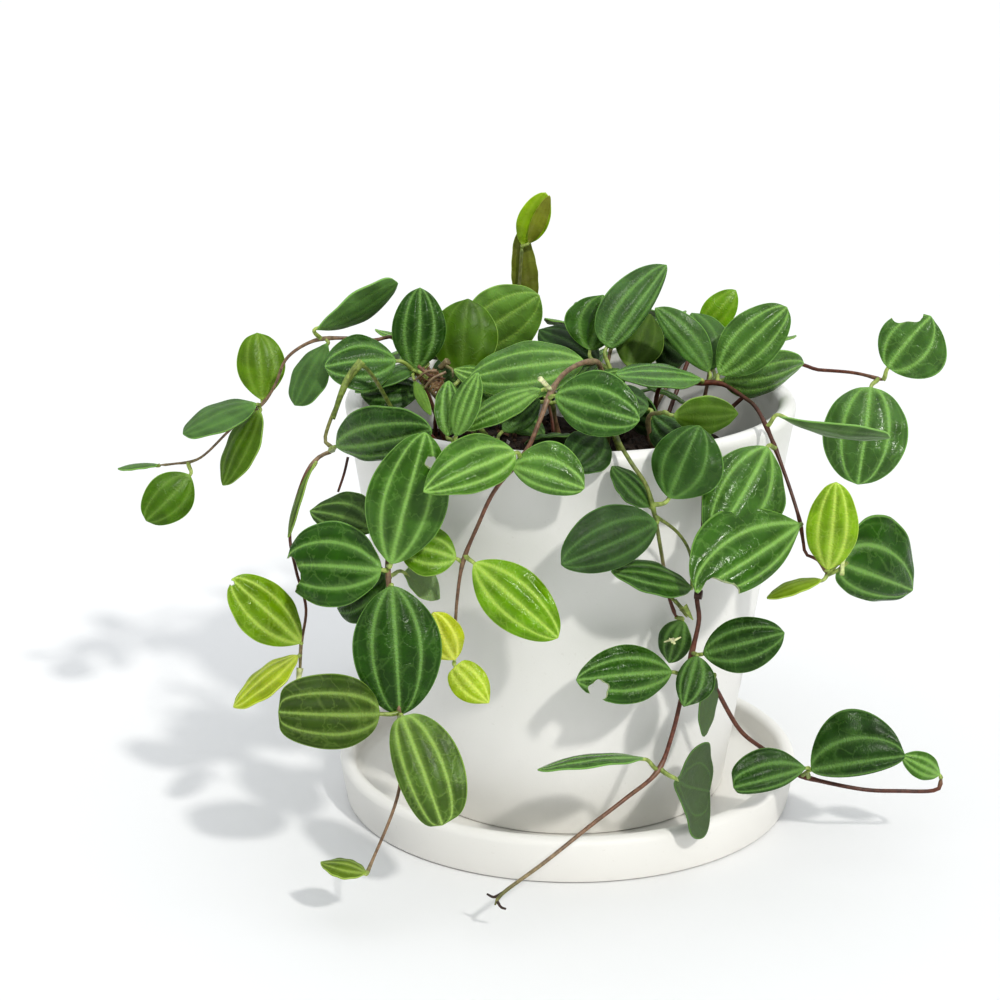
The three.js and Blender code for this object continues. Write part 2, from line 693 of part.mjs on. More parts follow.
// The soil fills the pot up to SOIL_TOP, with one plain hole for each stem's foot.
function soilSolid(stems) {
  const bottom = POT_Z + POT_FLOOR + REST_GAP;
  const inset = POT_WALL + SOIL_GAP;
  const chamfer = POT_FILLET + 1;
  const profile = [
    new THREE.Vector2(0, bottom),
    new THREE.Vector2(potRadius(bottom) - inset - chamfer, bottom),
    new THREE.Vector2(potRadius(bottom + chamfer) - inset, bottom + chamfer),
    new THREE.Vector2(potRadius(SOIL_TOP - 1) - inset, SOIL_TOP - 1),
    new THREE.Vector2(potRadius(SOIL_TOP) - inset - SOIL_SHOULDER, SOIL_TOP),
    new THREE.Vector2(0, SOIL_TOP),
  ];
  let body = turned(profile, SOIL_SIDES);
  for (const { path, girth } of stems) {
    const radius = girth[0] + HOLE_CLEARANCE;
    const hole = new THREE.CylinderGeometry(radius, radius, 2 * HOLE_DEPTH, HOLE_SIDES)
      .rotateX(Math.PI / 2)
      .translate(path[0].x, path[0].y, SOIL_TOP);
    body = body.subtract(solidOf(hole));
  }
  return body;
}

const group = new THREE.Group();

function place(name, body, material) {
  const mesh = new THREE.Mesh(geometryOf(body), material);
  mesh.name = name;
  group.add(mesh);
}

place("saucer", saucerSolid(), CERAMIC);
place("pot", potSolid(), CERAMIC);
place("soil", soilSolid([...Object.values(STEMS), ...Object.values(HIDDEN_STEMS)]), EARTH);

for (const stem of [...Object.values(STEMS), ...Object.values(HIDDEN_STEMS)]) {
  claim(course(stem.path));
}
for (const stem of Object.values(STEMS)) {
  for (const branch of stem.branches ?? []) claim(course(branch));
  for (const blade of stem.leaves) claim(bladeSamples(blade));
}
for (const [name, stem] of Object.entries(STEMS)) place(name, leafyStem(stem), LEAF);
for (const [name, stem] of Object.entries(HIDDEN_STEMS)) {
  place(name, leafyStem({ ...stem, leaves: whorlLeaves(stem) }), LEAF);
}

export default group;
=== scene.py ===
"""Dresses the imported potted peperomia: fine ribbed leaves on their stems, potting soil, and a
matte ceramic pot and saucer, on a pale floor in soft studio light."""

import math

import bpy
import numpy as np
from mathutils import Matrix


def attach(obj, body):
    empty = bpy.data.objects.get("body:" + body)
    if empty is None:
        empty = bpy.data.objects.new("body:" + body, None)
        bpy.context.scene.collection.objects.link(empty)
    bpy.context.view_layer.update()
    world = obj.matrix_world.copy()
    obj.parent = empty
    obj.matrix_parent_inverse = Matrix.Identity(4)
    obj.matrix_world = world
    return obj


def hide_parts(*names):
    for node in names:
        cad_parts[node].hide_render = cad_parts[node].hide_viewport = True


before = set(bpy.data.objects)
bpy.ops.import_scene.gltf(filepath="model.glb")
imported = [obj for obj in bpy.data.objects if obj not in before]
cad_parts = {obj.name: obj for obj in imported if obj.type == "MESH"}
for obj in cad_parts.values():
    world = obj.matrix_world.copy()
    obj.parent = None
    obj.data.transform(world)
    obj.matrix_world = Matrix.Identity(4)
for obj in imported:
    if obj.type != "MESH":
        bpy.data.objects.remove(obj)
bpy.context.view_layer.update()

MM = 0.001

# The camera, and the view that the seen points below were read in, in mm, radians and pixels.
VIEW_LENS = 2435
VIEW_DISTANCE = 617.9
VIEW_HEIGHT = 272.8
VIEW_PITCH = 0.2989
VIEW_SIDE = -18.37
VIEW_CENTRE = 500
SENSOR = 36.0
EYE = np.array([VIEW_SIDE, -VIEW_DISTANCE, VIEW_HEIGHT])

# The light: how strong the surround is at eye level and overhead, and the main light; and in
# degrees how wide the main light looks, how high it stands and how far to the viewer's right.
SURROUND_LOW = 0.5
SURROUND_HIGH = 1.08
MAIN_LIGHT = 1.45
MAIN_SOFT = 3.5
MAIN_HIGH = 40
MAIN_ASIDE = 27

# Pot, saucer and soil, in mm
POT_RIM_RADIUS = 58.9
POT_BASE_RADIUS = 42.5
RIM_HEIGHT = 111.8
POT_WALL = 4.6
POT_FLOOR = 6.0
POT_EDGE = 0.7
POT_SEAT = 0.05
POT_FILLET = 3.0
DRAIN_RADIUS = 6.0
SAUCER_RADIUS = 62.0
SAUCER_FOOT_RADIUS = 59.6
SAUCER_HEIGHT = 12.6
SAUCER_WALL = 4.2
SAUCER_FLOOR = 5.0
SAUCER_EDGE = 0.8
SAUCER_FILLET = 2.5
REST_GAP = 0.3
SOIL_TOP = 93.0
SOIL_GAP = 0.7
HOLE_DEPTH = 9.0
FOOT_RISE = 5.0
ROUND_SIDES = 192

# The soil's top: how its rings crowd outwards, its bumps as (width, height), how far it dips
# at the wall, and its crumbs, of which a share is bark or white perlite
SOIL_RINGS = 44
SOIL_SIDES = 120
RING_CROWD = 0.8
BUMPS = ((22, 0.5), (9, 0.45), (4.2, 0.4), (2.1, 0.3))
BUMP_WAVES = 5
BUMP_SHARE = 0.4
WALL_DIP = 1.2
CRUMBS = 620
CRUMB_SIZES = (0.35, 1.5)
BARK_FROM = 0.55
PERLITE_FROM = 0.94
MIDDLE = 0.02

POT_Z = SAUCER_FLOOR + REST_GAP
POT_SLOPE = (POT_RIM_RADIUS - POT_BASE_RADIUS) / (RIM_HEIGHT - POT_Z)

# Stems and leaf stalks, in mm: how a stem thickens and turns greener at its nodes and tapers
# at its end, and how a stalk leaves the stem, bends and runs on under the blade
CURVE_STEPS = 8
FINE_STEPS = 16
STEM_STEP = 1.5
STEM_SIDES = 12
STEM_SLIM = 0.6
NODE_REACH = 2.2
NODE_SWELL = 0.38
END_TAPER = 0.45
STALK_SIDES = 8
STALK_STEPS = 12
STALK_RADIUS = 0.5
STALK_AHEAD = 0.35
STALK_BEND = 0.4
NECK_DEPTH = 0.15
RIB_DEPTH = 0.25
STALK_TONES = (0.78, 0.86)
HIDDEN_TONES = (0.15, 0.2, 0.3, 0.6)
HIDDEN_SEED = 86

# Leaf blades, in mm and in shares of their width and length. BASE_POINT to HEEL_ROUND shape
# the outline, and EVEN says how evenly the rows of points lie.
ARCH = 0.07
CAMBER = 0.11
BASE_POINT = 0.68
TIP_POINT = 0.72
TIP_ROUND = 0.2
HEEL_ROUND = 0.25
NARROWEST = 0.02
LEAF_THICK = 0.8
EDGE_THICK = 0.38
VEINS = (0.0, 0.54, 0.88)
VEIN_DEPTHS = (1.0, 0.8, 0.3)
VEIN_VALLEY = 1.0
PUFF = 0.55
PLAIN_PUFF = 0.75
FULL_WIDTH = 15
SWEEP = 0.015
TIP_REACH = 0.35
TIP_BREADTH = 0.9
MARGIN_WAVE = 0.02
SWELL = 0.12
CURL = 0.3
LEAN_DRAW = 0.05
SHIFT_DRAW = 0.03
BITE_WAVE = 0.1
ROWS = 40
COLUMNS = 31
EVEN = 0.45
SMALL_LEAF = 14.0
SMALL_ROWS = 30
SMALL_COLUMNS = 23

# Leaves placed by rule: the room that they keep, and how their size, turn and droop vary
LEAF_ROOM = 3.1
POT_ROOM = 2.6
TABLE_ROOM = 2.0
SMALLEST = 0.8
SIZE_SPREAD = 0.35
SLENDER = 0.58
SLENDER_SPREAD = 0.1
ROLL_SPREAD = 25.0
STALK_OUT = 5.0
STALK_ON = 2.0
TRIES = 10
TRY_TURN = 0.63
TRY_SHRINK = 0.04
TURN_OUT = 0.35
HANG_OUT = 0.5
TURN_AHEAD = 0.35
LIFT = 0.1
DROOP = 0.5
FACE_OUT = 0.3
HIDDEN_AGE = 0.92
YOUNG_END = 0.3
AGE_SPREAD = 0.15


def seen(u, v, y):
    """The point that shows at column u and row v of the picture and lies at depth y."""
    k = (VIEW_CENTRE - v) / VIEW_LENS
    forward = y + VIEW_DISTANCE
    sin, cos = math.sin(VIEW_PITCH), math.cos(VIEW_PITCH)
    rise = forward * (k * cos - sin) / (cos + k * sin)
    depth = forward * cos - rise * sin
    return np.array([(u - VIEW_CENTRE) / VIEW_LENS * depth + VIEW_SIDE, y, rise + VIEW_HEIGHT])


def at(x, y, z):
    return np.array([x, y, z], float)


def foot(x, y):
    """Where a stem stands in the soil: straight up out of its hole."""
    end = SOIL_TOP - HOLE_DEPTH + REST_GAP
    return [at(x, y, z) for z in (end, SOIL_TOP, SOIL_TOP + FOOT_RISE)]


def through(*places):
    """A path's points, each seen at a column and row of the picture and at a depth."""
    return [seen(*place) for place in places]


# How a leaf looks unless it says otherwise. roll turns it about its own length, in degrees,
# lean widens its one half, and its face looks up, or to the camera if that is None. age runs
# from 0, a yellow-green young leaf, to 1, a dark old one. pale, olive and dead tint it, and
# plain fades its veins. blunt rounds its tip, heel its base, and broad moves its widest place
# to the tip. A cut is (column, row, radius in mm) of a bite or hole.
LEAF = {"roll": 0.0, "lean": 0.0, "up": None, "age": 0.85, "pale": 0.0, "olive": 0.0,
        "dead": 0.0, "plain": 0.0, "blunt": 1.0, "broad": 1.0, "heel": 0.0, "cuts": ()}


def leaf(base, tip, width, roll=0.0, lean=0.0, **more):
    """A leaf whose base and tip are seen at (column, row, depth), its width in mm."""
    return {**LEAF, "base": seen(*base), "tip": seen(*tip), "width": width, "roll": roll,
            "lean": lean, **more}


STEMS = {}


def stem(name, girth, tones, path, *leaves, branches=(), twigs=(), whorls=()):
    """Adds a leafy stem: its girth in mm at both ends, the tones along it, its path and its
    leaves. A branch is (girth, tones, path) and a bare twig (radii, tone, path). A tone runs
    from 0, dark brown, over 0.25, red-brown, 0.5, light red-brown, and 0.75, green, to 1, pale
    green. whorls says how whorl_leaves places leaves along the stem."""
    STEMS[name] = {"runs": [(girth, tones, path), *branches], "leaves": leaves, "twigs": twigs,
                   "whorls": whorls}


# The leafy stems in the picture
stem("vine_front_left", (1.15, 0.6), (0.1, 0.3, 0.35, 0.45),
     foot(-28, -30) + [at(-38, -35, 112.5), at(-44, -39.5, 115)] + through((393, 445, -48),
         (390, 500, -57), (388, 570, -64), (394, 640, -68), (399, 712, -74), (399, 790, -80),
         (366, 876, -86)),
     leaf((391, 564, -67), (425, 434, -66), 19.5, age=0.66, pale=0.2, blunt=0.9,
          cuts=[(431, 461, 1.3)]),
     leaf((381, 570, -66), (285, 565, -54), 21, age=0.8, blunt=1.7, broad=1.1, heel=0.5,
          cuts=[(287, 575, 4.3)]),
     leaf((392, 586, -67), (400, 714, -74), 21.5, age=0.88, blunt=1.1, heel=0.2),
     leaf((403, 573, -56), (438, 598, -48), 9, 150, 0.3, age=0.3, pale=0.9, plain=0.7, blunt=0.3,
          broad=1.2),
     leaf((374, 529, -54), (311, 511, -48), 13, 30, 0.3, age=0.92, olive=0.4, blunt=0.6),
     leaf((386, 576, -60), (338, 608, -52), 16, 40, age=0.95, blunt=1.2),
     leaf((380, 714, -76), (280, 712, -84), 18, 0, 0.1, age=0.87, olive=1.0, blunt=2.4, heel=1.0),
     leaf((402, 716, -77), (442, 824, -88), 16.3, 0, -0.2, age=0.68, olive=0.8, pale=0.3, blunt=2.2,
          broad=1.1, heel=1.3),
     leaf((366, 872, -86), (322, 862, -84), 10, 62, age=0.5, olive=0.9, plain=0.5, blunt=0.6))

stem("vine_left", (1.0, 0.55), (0.76, 0.74, 0.72, 0.68, 0.12, 0.15, 0.6),
     foot(-40, -14) + through((366, 368, -26), (342, 395, -29), (325, 438, -31), (334, 449, -33),
         (318, 458, -34), (303, 480, -37), (290, 530, -41), (296, 570, -45), (306, 608, -47),
         (301, 645, -49), (300, 674, -50)),
     leaf((336, 447, -43), (430, 430, -63), 14, 15, -0.3, age=0.86, blunt=1.2),
     leaf((314, 462, -35), (288, 536, -43), 7, 80, age=0.7, olive=0.8, plain=0.7, blunt=0.4, broad=1.3),
     leaf((301, 643, -50), (233, 580, -53), 14.5, 10, age=0.32, olive=0.25, blunt=1.3, broad=1.1,
          cuts=[(232, 583, 0.6)]),
     leaf((297, 655, -50), (234, 706, -55), 12, 55, age=0.15, olive=0.4, plain=0.4, blunt=0.8),
     twigs=[((0.55, 1.15), 0.78, through((333, 419, -30.5), (340, 397, -29.6), (348, 379, -28),
              (362, 361, -26.5))),
            ((0.9, 0.5), 0.95, through((300, 668, -50), (298, 682, -51))),
            ((0.35, 0.3), 0.1, through((348, 457, -40), (344, 474, -41), (338, 492, -42)))])

stem("vine_centre", (1.35, 0.6), (0.2, 0.45, 0.45, 0.35, 0.3, 0.6),
     foot(8, -20) + through((602, 374, -30), (588, 362, -40), (566, 372, -50), (551, 392, -57),
         (540, 420, -61), (525, 453, -64), (495, 490, -65), (478, 525, -64), (463, 562, -63),
         (457, 600, -62), (455, 635, -62), (454, 664, -62)),
     leaf((584, 361, -38), (471, 377, -38), 16, 30, age=0.52, plain=0.3, pale=0.5),
     leaf((555, 396, -60), (638, 420, -66), 15.6, 0, -0.17, age=0.82, pale=0.2, blunt=1.2),
     leaf((515, 452, -68), (425, 491, -79), 14.5, 20, 0.25, age=0.54, pale=0.15, blunt=0.2, broad=0.78),
     leaf((512, 466, -66), (583, 488, -69), 12.5, 0, -0.35, age=0.55, pale=0.45, blunt=1.4),
     leaf((541, 389, -55), (462, 428, -57), 8, 35, age=0.6, pale=0.2, plain=0.3, blunt=0.7),
     leaf((474, 563, -66), (557, 637, -73), 15, age=0.28),
     leaf((456, 558, -62), (401, 546, -59), 12.5, 15, age=0.38, blunt=1.1),
     leaf((455, 660, -63), (434, 614, -66), 10.5, age=0.05, olive=0.4, blunt=1.1),
     leaf((455, 666, -64), (488, 702, -67), 9.2, age=0.12, olive=0.2, blunt=0.2, broad=0.85, heel=1.4),
     branches=[((0.6, 0.51), (1.0, 1.0), through((552, 391, -57), (540, 379, -60)))],
     twigs=[((0.55, 0.7), 1.0, through((550, 389, -57.4), (540, 378.5, -60)))])

stem("vine_right_centre", (1.1, 0.7), (0.5, 0.7, 0.72, 0.72, 0.7, 0.1),
     foot(14, -36) + through((610, 424, -49), (620, 444, -60), (632, 464, -63), (646, 485, -64),
         (654, 512, -64), (660, 545, -61), (665, 575, -57), (669, 597, -56), (676, 617, -57)),
     leaf((657, 523, -66), (563, 564, -77), 15, 0, 0.25, age=0.97, pale=0.25, plain=0.6, blunt=0.9,
          heel=0.5),
     leaf((651, 506, -64), (613, 467, -61), 9, 45, age=0.93, plain=0.5),
     leaf((669, 498, -63), (699, 427, -60), 17.5, 0, 0.12, age=0.85, pale=0.2, plain=0.6, blunt=1.1),
     leaf((603, 433, -57), (572, 468, -65), 12, 10, age=0.97, plain=0.6),
     leaf((692, 587, -61), (613, 571, -70), 11, 45, age=0.88, plain=0.3, blunt=0.4),
     leaf((682, 621, -56), (669, 662, -52), 8.5, 10, age=0.9),
     branches=[((0.7, 0.595), (0.7, 0.75), through((655, 516, -64), (675, 530, -61), (688, 548, -60),
                 (693, 570, -60), (691, 586, -60))),
               ((0.7, 0.595), (0.7, 0.72), through((668, 594, -56), (679, 606, -58), (687, 617, -64)))],
     twigs=[((0.2, 0.4), 1.0, through((664, 642, -57), (674, 639, -58))),
            ((0.45, 0.2), 1.0, through((671, 642, -58), (681, 637, -57.5))),
            ((0.15, 0.35), 1.0, through((669, 638, -57.5), (675, 644, -58))),
            ((0.4, 0.5), 0.8, through((675, 600, -57), (680, 606, -58), (684, 610, -59))),
            ((1.3, 0.15), 0.8, through((683, 607, -59), (688, 613, -59.5), (693, 620, -60)))])

stem("vine_front_right", (1.2, 0.75), (0.05, 0.05, 0.1, 0.2, 0.24, 0.34, 0.66),
     foot(31, -26) + through((706, 402, -37), (705, 439, -50.5), (704, 500, -50), (702, 560, -53),
         (697, 596, -57), (699, 620, -58), (692, 652, -59), (683, 690, -61), (672, 735, -65),
         (657, 772, -69), (625, 799, -75), (590, 826, -80), (545, 862, -86), (503, 893, -90),
         (495, 905, -91)),
     leaf((703, 654, -60), (783, 633, -62), 13.5, age=0.93, blunt=1.1),
     leaf((672, 672, -61), (578, 680, -69), 14.5, age=0.85, blunt=0.8, cuts=[(598, 690, 2.4)]),
     leaf((697, 656, -62), (684, 705, -69), 9.5, 0, -0.25, age=0.93, blunt=0.3, heel=0.6),
     leaf((713, 675, -56), (703, 735, -58), 8, 120, age=0.95, pale=0.2, plain=0.8),
     leaf((643, 757, -69), (539, 769, -77), 12, 76, age=0.75, pale=0.5, blunt=0.7),
     leaf((673, 778, -69), (708, 791, -47), 24.5, 164, age=0.95, pale=0.1, blunt=1.3, broad=2.1,
          heel=-2.2),
     leaf((806, 768, -46), (735, 787, -52), 11, 0, 0.4, age=0.93, blunt=2.2, broad=1.2),
     leaf((811, 770, -45), (904, 756, -47), 17, 0, -0.6, age=0.94, blunt=1.4, heel=0.6),
     leaf((940, 775, -43), (904, 757, -46), 7, age=0.75),
     branches=[((1.0, 0.85), (0.27, 0.27, 0.22, 0.15, 0.15, 0.28), through((692, 652, -59),
                 (702, 668, -56), (715, 687, -54), (740, 730, -48), (768, 752, -42), (790, 768, -40),
                 (805, 777, -41), (860, 789, -42), (900, 791, -42), (936, 790, -42), (941, 778, -42)))],
     twigs=[((1.3, 1.2), 0.02, through((695, 594, -57), (702, 595, -57.5))),
            ((0.45, 0.25), 0.0, through((503, 893, -90), (494, 897, -89), (487, 894, -88))),
            ((0.4, 0.25), 0.0, through((497, 901, -91), (501, 907, -90), (506, 909, -90)))])

stem("vine_right", (1.1, 0.65), (0.3, 0.3, 0.2, 0.1, 0.12, 0.3),
     foot(22, -8) + through((660, 386, -16), (700, 383, -15), (722, 384, -18), (745, 398, -27),
         (757, 409, -34), (770, 435, -42), (787, 480, -48), (799, 518, -52), (803, 540, -54),
         (806, 554, -55), (818, 560, -56), (828, 575, -56)),
     leaf((709, 372, -14), (656, 309, -11), 9, 0, 0.3, age=0.7, pale=0.6, plain=0.6),
     leaf((713, 369, -8), (692, 314, 2), 13, age=0.7, pale=0.6, plain=0.7),
     leaf((719, 374, -16), (786, 308, -12), 14.5, age=0.62, plain=0.25, pale=0.4, blunt=1.4),
     leaf((724, 381, -14), (803, 364, -2), 15, 45, age=0.5, pale=0.6, plain=0.3),
     leaf((701, 378, -17), (617, 374, -24), 13, 62, age=0.75, pale=0.9, plain=0.2),
     leaf((768, 447, -48), (714, 540, -62), 21, -16, -0.12, age=0.68, pale=0.4, blunt=1.2),
     leaf((779, 417, -41), (889, 438, -46), 11, 72, age=0.5, pale=1.0, plain=0.8, blunt=1.5, broad=1.5),
     leaf((801, 524, -55), (697, 591, -72), 20, 0, 0.35, age=0.7, pale=0.1, broad=1.2,
          cuts=[(718, 603, 5.6)]),
     leaf((828, 570, -57), (836, 484, -61), 12.6, age=0.18, blunt=1.1),
     leaf((842, 564, -56), (912, 590, -43), 21.5, 0, -0.42, age=0.84, broad=0.72, heel=0.8),
     leaf((821, 579, -57), (768, 597, -59), 6, 55, age=0.35, olive=0.5, plain=0.8, blunt=0.6),
     twigs=[((0.5, 0.45), 0.8, through((828, 575, -56), (838, 570, -57), (848, 562, -57))),
            ((0.35, 0.6), 0.9, through((848, 551, -58), (843, 562, -58), (842, 575, -58)))])

stem("vine_right_back", (1.1, 0.7), (0.1, 0.2, 0.3),
     foot(36, 8) + through((780, 368, 8), (820, 370, 5), (855, 373, 1), (883, 380, -3)),
     leaf((871, 387, -5), (858, 483, -16), 22, age=0.68, pale=0.6, blunt=1.3, heel=1.0),
     leaf((888, 368, -3), (930, 317, -1), 19, 0, 0.25, age=0.66, pale=0.5, heel=0.7,
          cuts=[(907, 304, 5.0)]))

stem("vine_far_left", (1.0, 0.5), (0.3, 0.35, 0.4, 0.45, 0.5),
     foot(-34, 12) + through((405, 345, 0), (372, 340, -5), (341, 338, -9), (313, 341, -8),
         (287, 358, -5), (275, 385, -1), (262, 404, 2), (232, 428, 4), (200, 458, 6), (172, 464, 8),
         (160, 465, 8)),
     leaf((317, 330, -11), (397, 284, -5), 13, 55, age=0.5, pale=1.0, plain=0.85, blunt=1.5, broad=1.3),
     leaf((327, 343, -10), (295, 404, -15), 11, 35, age=0.7, pale=0.7, plain=0.85, blunt=1.5,
          broad=1.25),
     leaf((262, 400, 2), (257, 334, 8), 12.8, age=0.42, olive=0.3, plain=0.8, blunt=1.7, broad=1.15),
     leaf((256, 403, 1), (184, 433, -6), 12, 50, age=0.7, pale=0.7, plain=0.85, blunt=1.5),
     leaf((259, 410, 1), (223, 484, -4), 12, 45, age=0.55, olive=0.5, plain=0.8),
     leaf((190, 475, 5), (147, 520, 0), 13, age=0.5, olive=0.3, plain=0.8, blunt=1.6),
     leaf((158, 464, 8), (119, 468, 6), 7, 80, age=0.6, pale=0.5, plain=0.8))

stem("shoot_left", (1.1, 0.8), (0.3, 0.5, 0.6),
     foot(-24, 0) + through((432, 392, -8), (417, 374, -12)),
     leaf((416, 369, -12), (420, 289, -8), 14, age=0.88, blunt=1.1),
     leaf((462, 372, -3), (468, 300, 3), 18, age=0.5, olive=0.35, plain=1.0, heel=0.8),
     leaf((396, 360, -15), (326, 366, -20), 16, 25, age=0.85, pale=0.3),
     leaf((426, 362, -9), (356, 391, -15), 9, 60, age=0.8, pale=0.7, plain=0.6, blunt=0.5),
     leaf((420, 390, -11), (362, 394, -11), 11, 35, age=0.95),
     leaf((456, 400, 4), (449, 352, 13), 12, age=0.9, olive=0.3),
     leaf((498, 402, 6), (468, 368, 11), 13, age=0.95),
     leaf((414, 381, -20), (430, 414, -26), 3.2, 20, age=0.35, pale=0.6, plain=0.7, blunt=0.6),
     leaf((416, 372, -17), (443, 384, -20), 6.0, 20, dead=1.0),
     leaf((428, 378, -22), (446, 394, -22), 4.5, -20, dead=1.0),
     twigs=[((0.8, 1.0), 0.55, through((440, 368, -12), (448, 361, -13))),
            ((0.2, 0.5), 0.45, through((414, 381, -22), (426, 372, -23), (437, 371, -23))),
            ((0.5, 0.2), 0.3, through((418, 366, -22), (430, 375, -23), (445, 379, -22))),
            ((0.3, 0.4), 0.5, through((425, 388, -23), (432, 379, -24), (446, 372, -23))),
            ((0.5, 0.2), 0.6, through((446, 366, -14), (452, 370, -15), (453, 378, -16)))])

stem("shoot_back_left", (1.1, 0.7), (0.3, 0.5, 0.7),
     foot(-14.5, 24.5) + through((508, 340, 26), (518, 295, 30), (522, 247, 30)),
     leaf((466, 345, 22), (538, 296, 18), 19, age=0.25, pale=0.8, plain=0.5, heel=0.5),
     leaf((528, 322, 34), (521, 232, 33), 7.5, 10, age=0.45, olive=1.0, dead=0.25, plain=1.0,
          blunt=1.6),
     leaf((522, 245, 30), (545, 194, 27), 8.5, age=0.1, plain=1.0, blunt=1.2),
     leaf((529, 243, 28.5), (549, 197, 25.5), 4.2, age=0.3, olive=0.8, dead=0.3, plain=1.0))

stem("shoot_front_left", (1.0, 0.7), (0.5, 0.7, 0.95),
     foot(-12, -36) + through((470, 420, -47), (453, 442, -60)),
     leaf((455, 436, -61), (477, 374, -61), 7.5, -25, age=0.6, pale=0.4, plain=0.2, blunt=0.8),
     leaf((448, 436, -59), (449, 382, -54), 8, 25, age=0.75, pale=0.1),
     leaf((503, 431, -36), (539, 400, -30), 7, age=0.95, blunt=0.8),
     leaf((476, 412, -40), (444, 402, -27), 11, 40, age=1.0))

stem("shoot_centre", (1.1, 0.8), (0.5, 0.7, 0.95),
     foot(10, 0) + through((614, 392, -6), (611, 372, -9)),
     leaf((607, 347, -8), (666, 266, 4), 12, 0, -0.35, age=0.83, pale=0.5, plain=0.45, broad=0.8,
          heel=0.6),
     leaf((590, 350, -3), (603, 296, 5), 14, 0, -0.2, age=0.74, plain=0.6),
     leaf((628, 366, -1), (650, 315, 8), 13, age=0.72, olive=0.7, plain=1.0),
     leaf((598, 362, 2), (540, 330, 10), 14, 40, age=1.0, plain=0.6),
     leaf((620, 404, -20), (660, 424, -33), 12, 40, age=1.0))

stem("shoot_front_right", (1.0, 0.8), (0.1, 0.3, 0.6),
     foot(22, -34) + through((648, 421, -45), (664, 412, -51)),
     leaf((674, 416, -55), (737, 414, -53), 10, 20, age=0.6, olive=0.5, plain=0.9, blunt=0.5,
          cuts=[(689, 431, 0.9), (695, 429, 0.8)]),
     leaf((648, 408, -40), (596, 402, -34), 13, 35, age=1.0),
     leaf((688, 444, -46), (654, 416, -40), 11, 20, age=1.0))

stem("shoot_back_right", (1.0, 0.7), (0.3, 0.5, 0.6),
     foot(22, 22) + through((688, 350, 32), (699, 333, 34)),
     leaf((701, 329, 34), (735, 291, 36), 9, age=0.25, plain=0.8),
     leaf((690, 358, 26), (662, 340, 14), 14, age=1.0, plain=0.5))

# The leafy stems on the sides that the picture doesn't show, and the short shoots that fill
# the crown: name, girth at both ends, whorls of leaves (how many, from which share of the path
# on, how many leaves in each, length of a leaf), where the stem stands, and its other points.
HIDDEN_STEMS = (
    ("vine_back_left", (1.1, 0.6), (4, 0.3, 2, 26), (-24, 30),
     [(-38, 52, 121), (-45, 62, 104), (-45, 68, 78), (-41, 72, 52), (-38, 78, 28)]),
    ("vine_back", (1.2, 0.6), (4, 0.3, 2, 27), (4, 36),
     [(8, 64, 122), (10, 75, 104), (6, 77, 76), (-3, 76, 50)]),
    ("vine_back_right", (1.1, 0.6), (4, 0.34, 2, 25), (28, 30),
     [(41, 50, 122), (48, 64, 104), (46, 69, 80), (40, 72, 58)]),
    ("shoot_back", (1.1, 0.8), (2, 0.62, 3, 25), (-4, 12), [(-6, 18, 112), (-8, 22, 119)]),
    ("shoot_far_back", (1.0, 0.8), (2, 0.6, 3, 20), (10, 44), [(12, 46, 109), (13, 47, 114)]),
    ("shoot_side", (1.0, 0.8), (2, 0.6, 3, 17), (36, 22), [(38, 24, 108), (39, 26, 113)]),
    ("shoot_middle", (1.0, 0.8), (2, 0.6, 3, 23), (-2, -12), [(-4, -16, 108), (-5, -19, 114)]),
    ("shoot_corner", (1.0, 0.8), (2, 0.6, 3, 17), (-36, 26), [(-34, 30, 108), (-33, 33, 113)]),
)
for name, girth, whorls, root, points in HIDDEN_STEMS:
    stem(name, girth, HIDDEN_TONES, foot(*root) + [at(*place) for place in points],
         whorls=whorls)

# The same draws on every run: a number that each draw multiplies, kept below LIMIT.
FACTOR = 16807
LIMIT = 2147483647
draw = 20117


def random():
    """The next draw, from 0 to 1."""
    global draw
    draw = draw * FACTOR % LIMIT
    return draw / LIMIT


def unit(v):
    return v / np.linalg.norm(v, axis=-1, keepdims=True)


def course(points, steps=CURVE_STEPS):
    """The smooth curve through a stem's points, in steps between each two of them."""
    points = np.array(points, float)
    padded = np.vstack([2 * points[0] - points[1], points, 2 * points[-1] - points[-2]])
    t = (np.arange(steps) / steps)[:, None]
    spans = []
    for a, b, c, d in zip(padded, padded[1:], padded[2:], padded[3:]):
        start, end = 0.5 * (c - a), 0.5 * (d - b)
        spans.append(b + start * t + (3 * (c - b) - 2 * start - end) * t**2
                     + (2 * (b - c) + start + end) * t**3)
    return np.vstack([*spans, points[-1]])


def pot_radius(z):
    """The outer radius of the pot at height z."""
    return POT_BASE_RADIUS + (z - POT_Z) * POT_SLOPE


def outline(t, blunt=1.0, broad=1.0, heel=0.0):
    """The half width of a blade, as a share of the full one, at share t of its length."""
    power = (BASE_POINT - HEEL_ROUND * heel) * (1 - t) + (TIP_POINT - TIP_ROUND * blunt) * t
    return np.maximum(np.sin(np.pi * t**broad), 0) ** power


def blade_frame(blade):
    """A leaf's own directions: along it, across it, out of its upper face; and its length."""
    along = blade["tip"] - blade["base"]
    length = np.linalg.norm(along)
    along = along / length
    toward = EYE - blade["base"] if blade["up"] is None else blade["up"]
    normal = unit(toward - along * toward.dot(along))
    angle = math.radians(blade["roll"])
    normal = normal * math.cos(angle) + np.cross(along, normal) * math.sin(angle)
    return along, np.cross(along, normal), normal, length


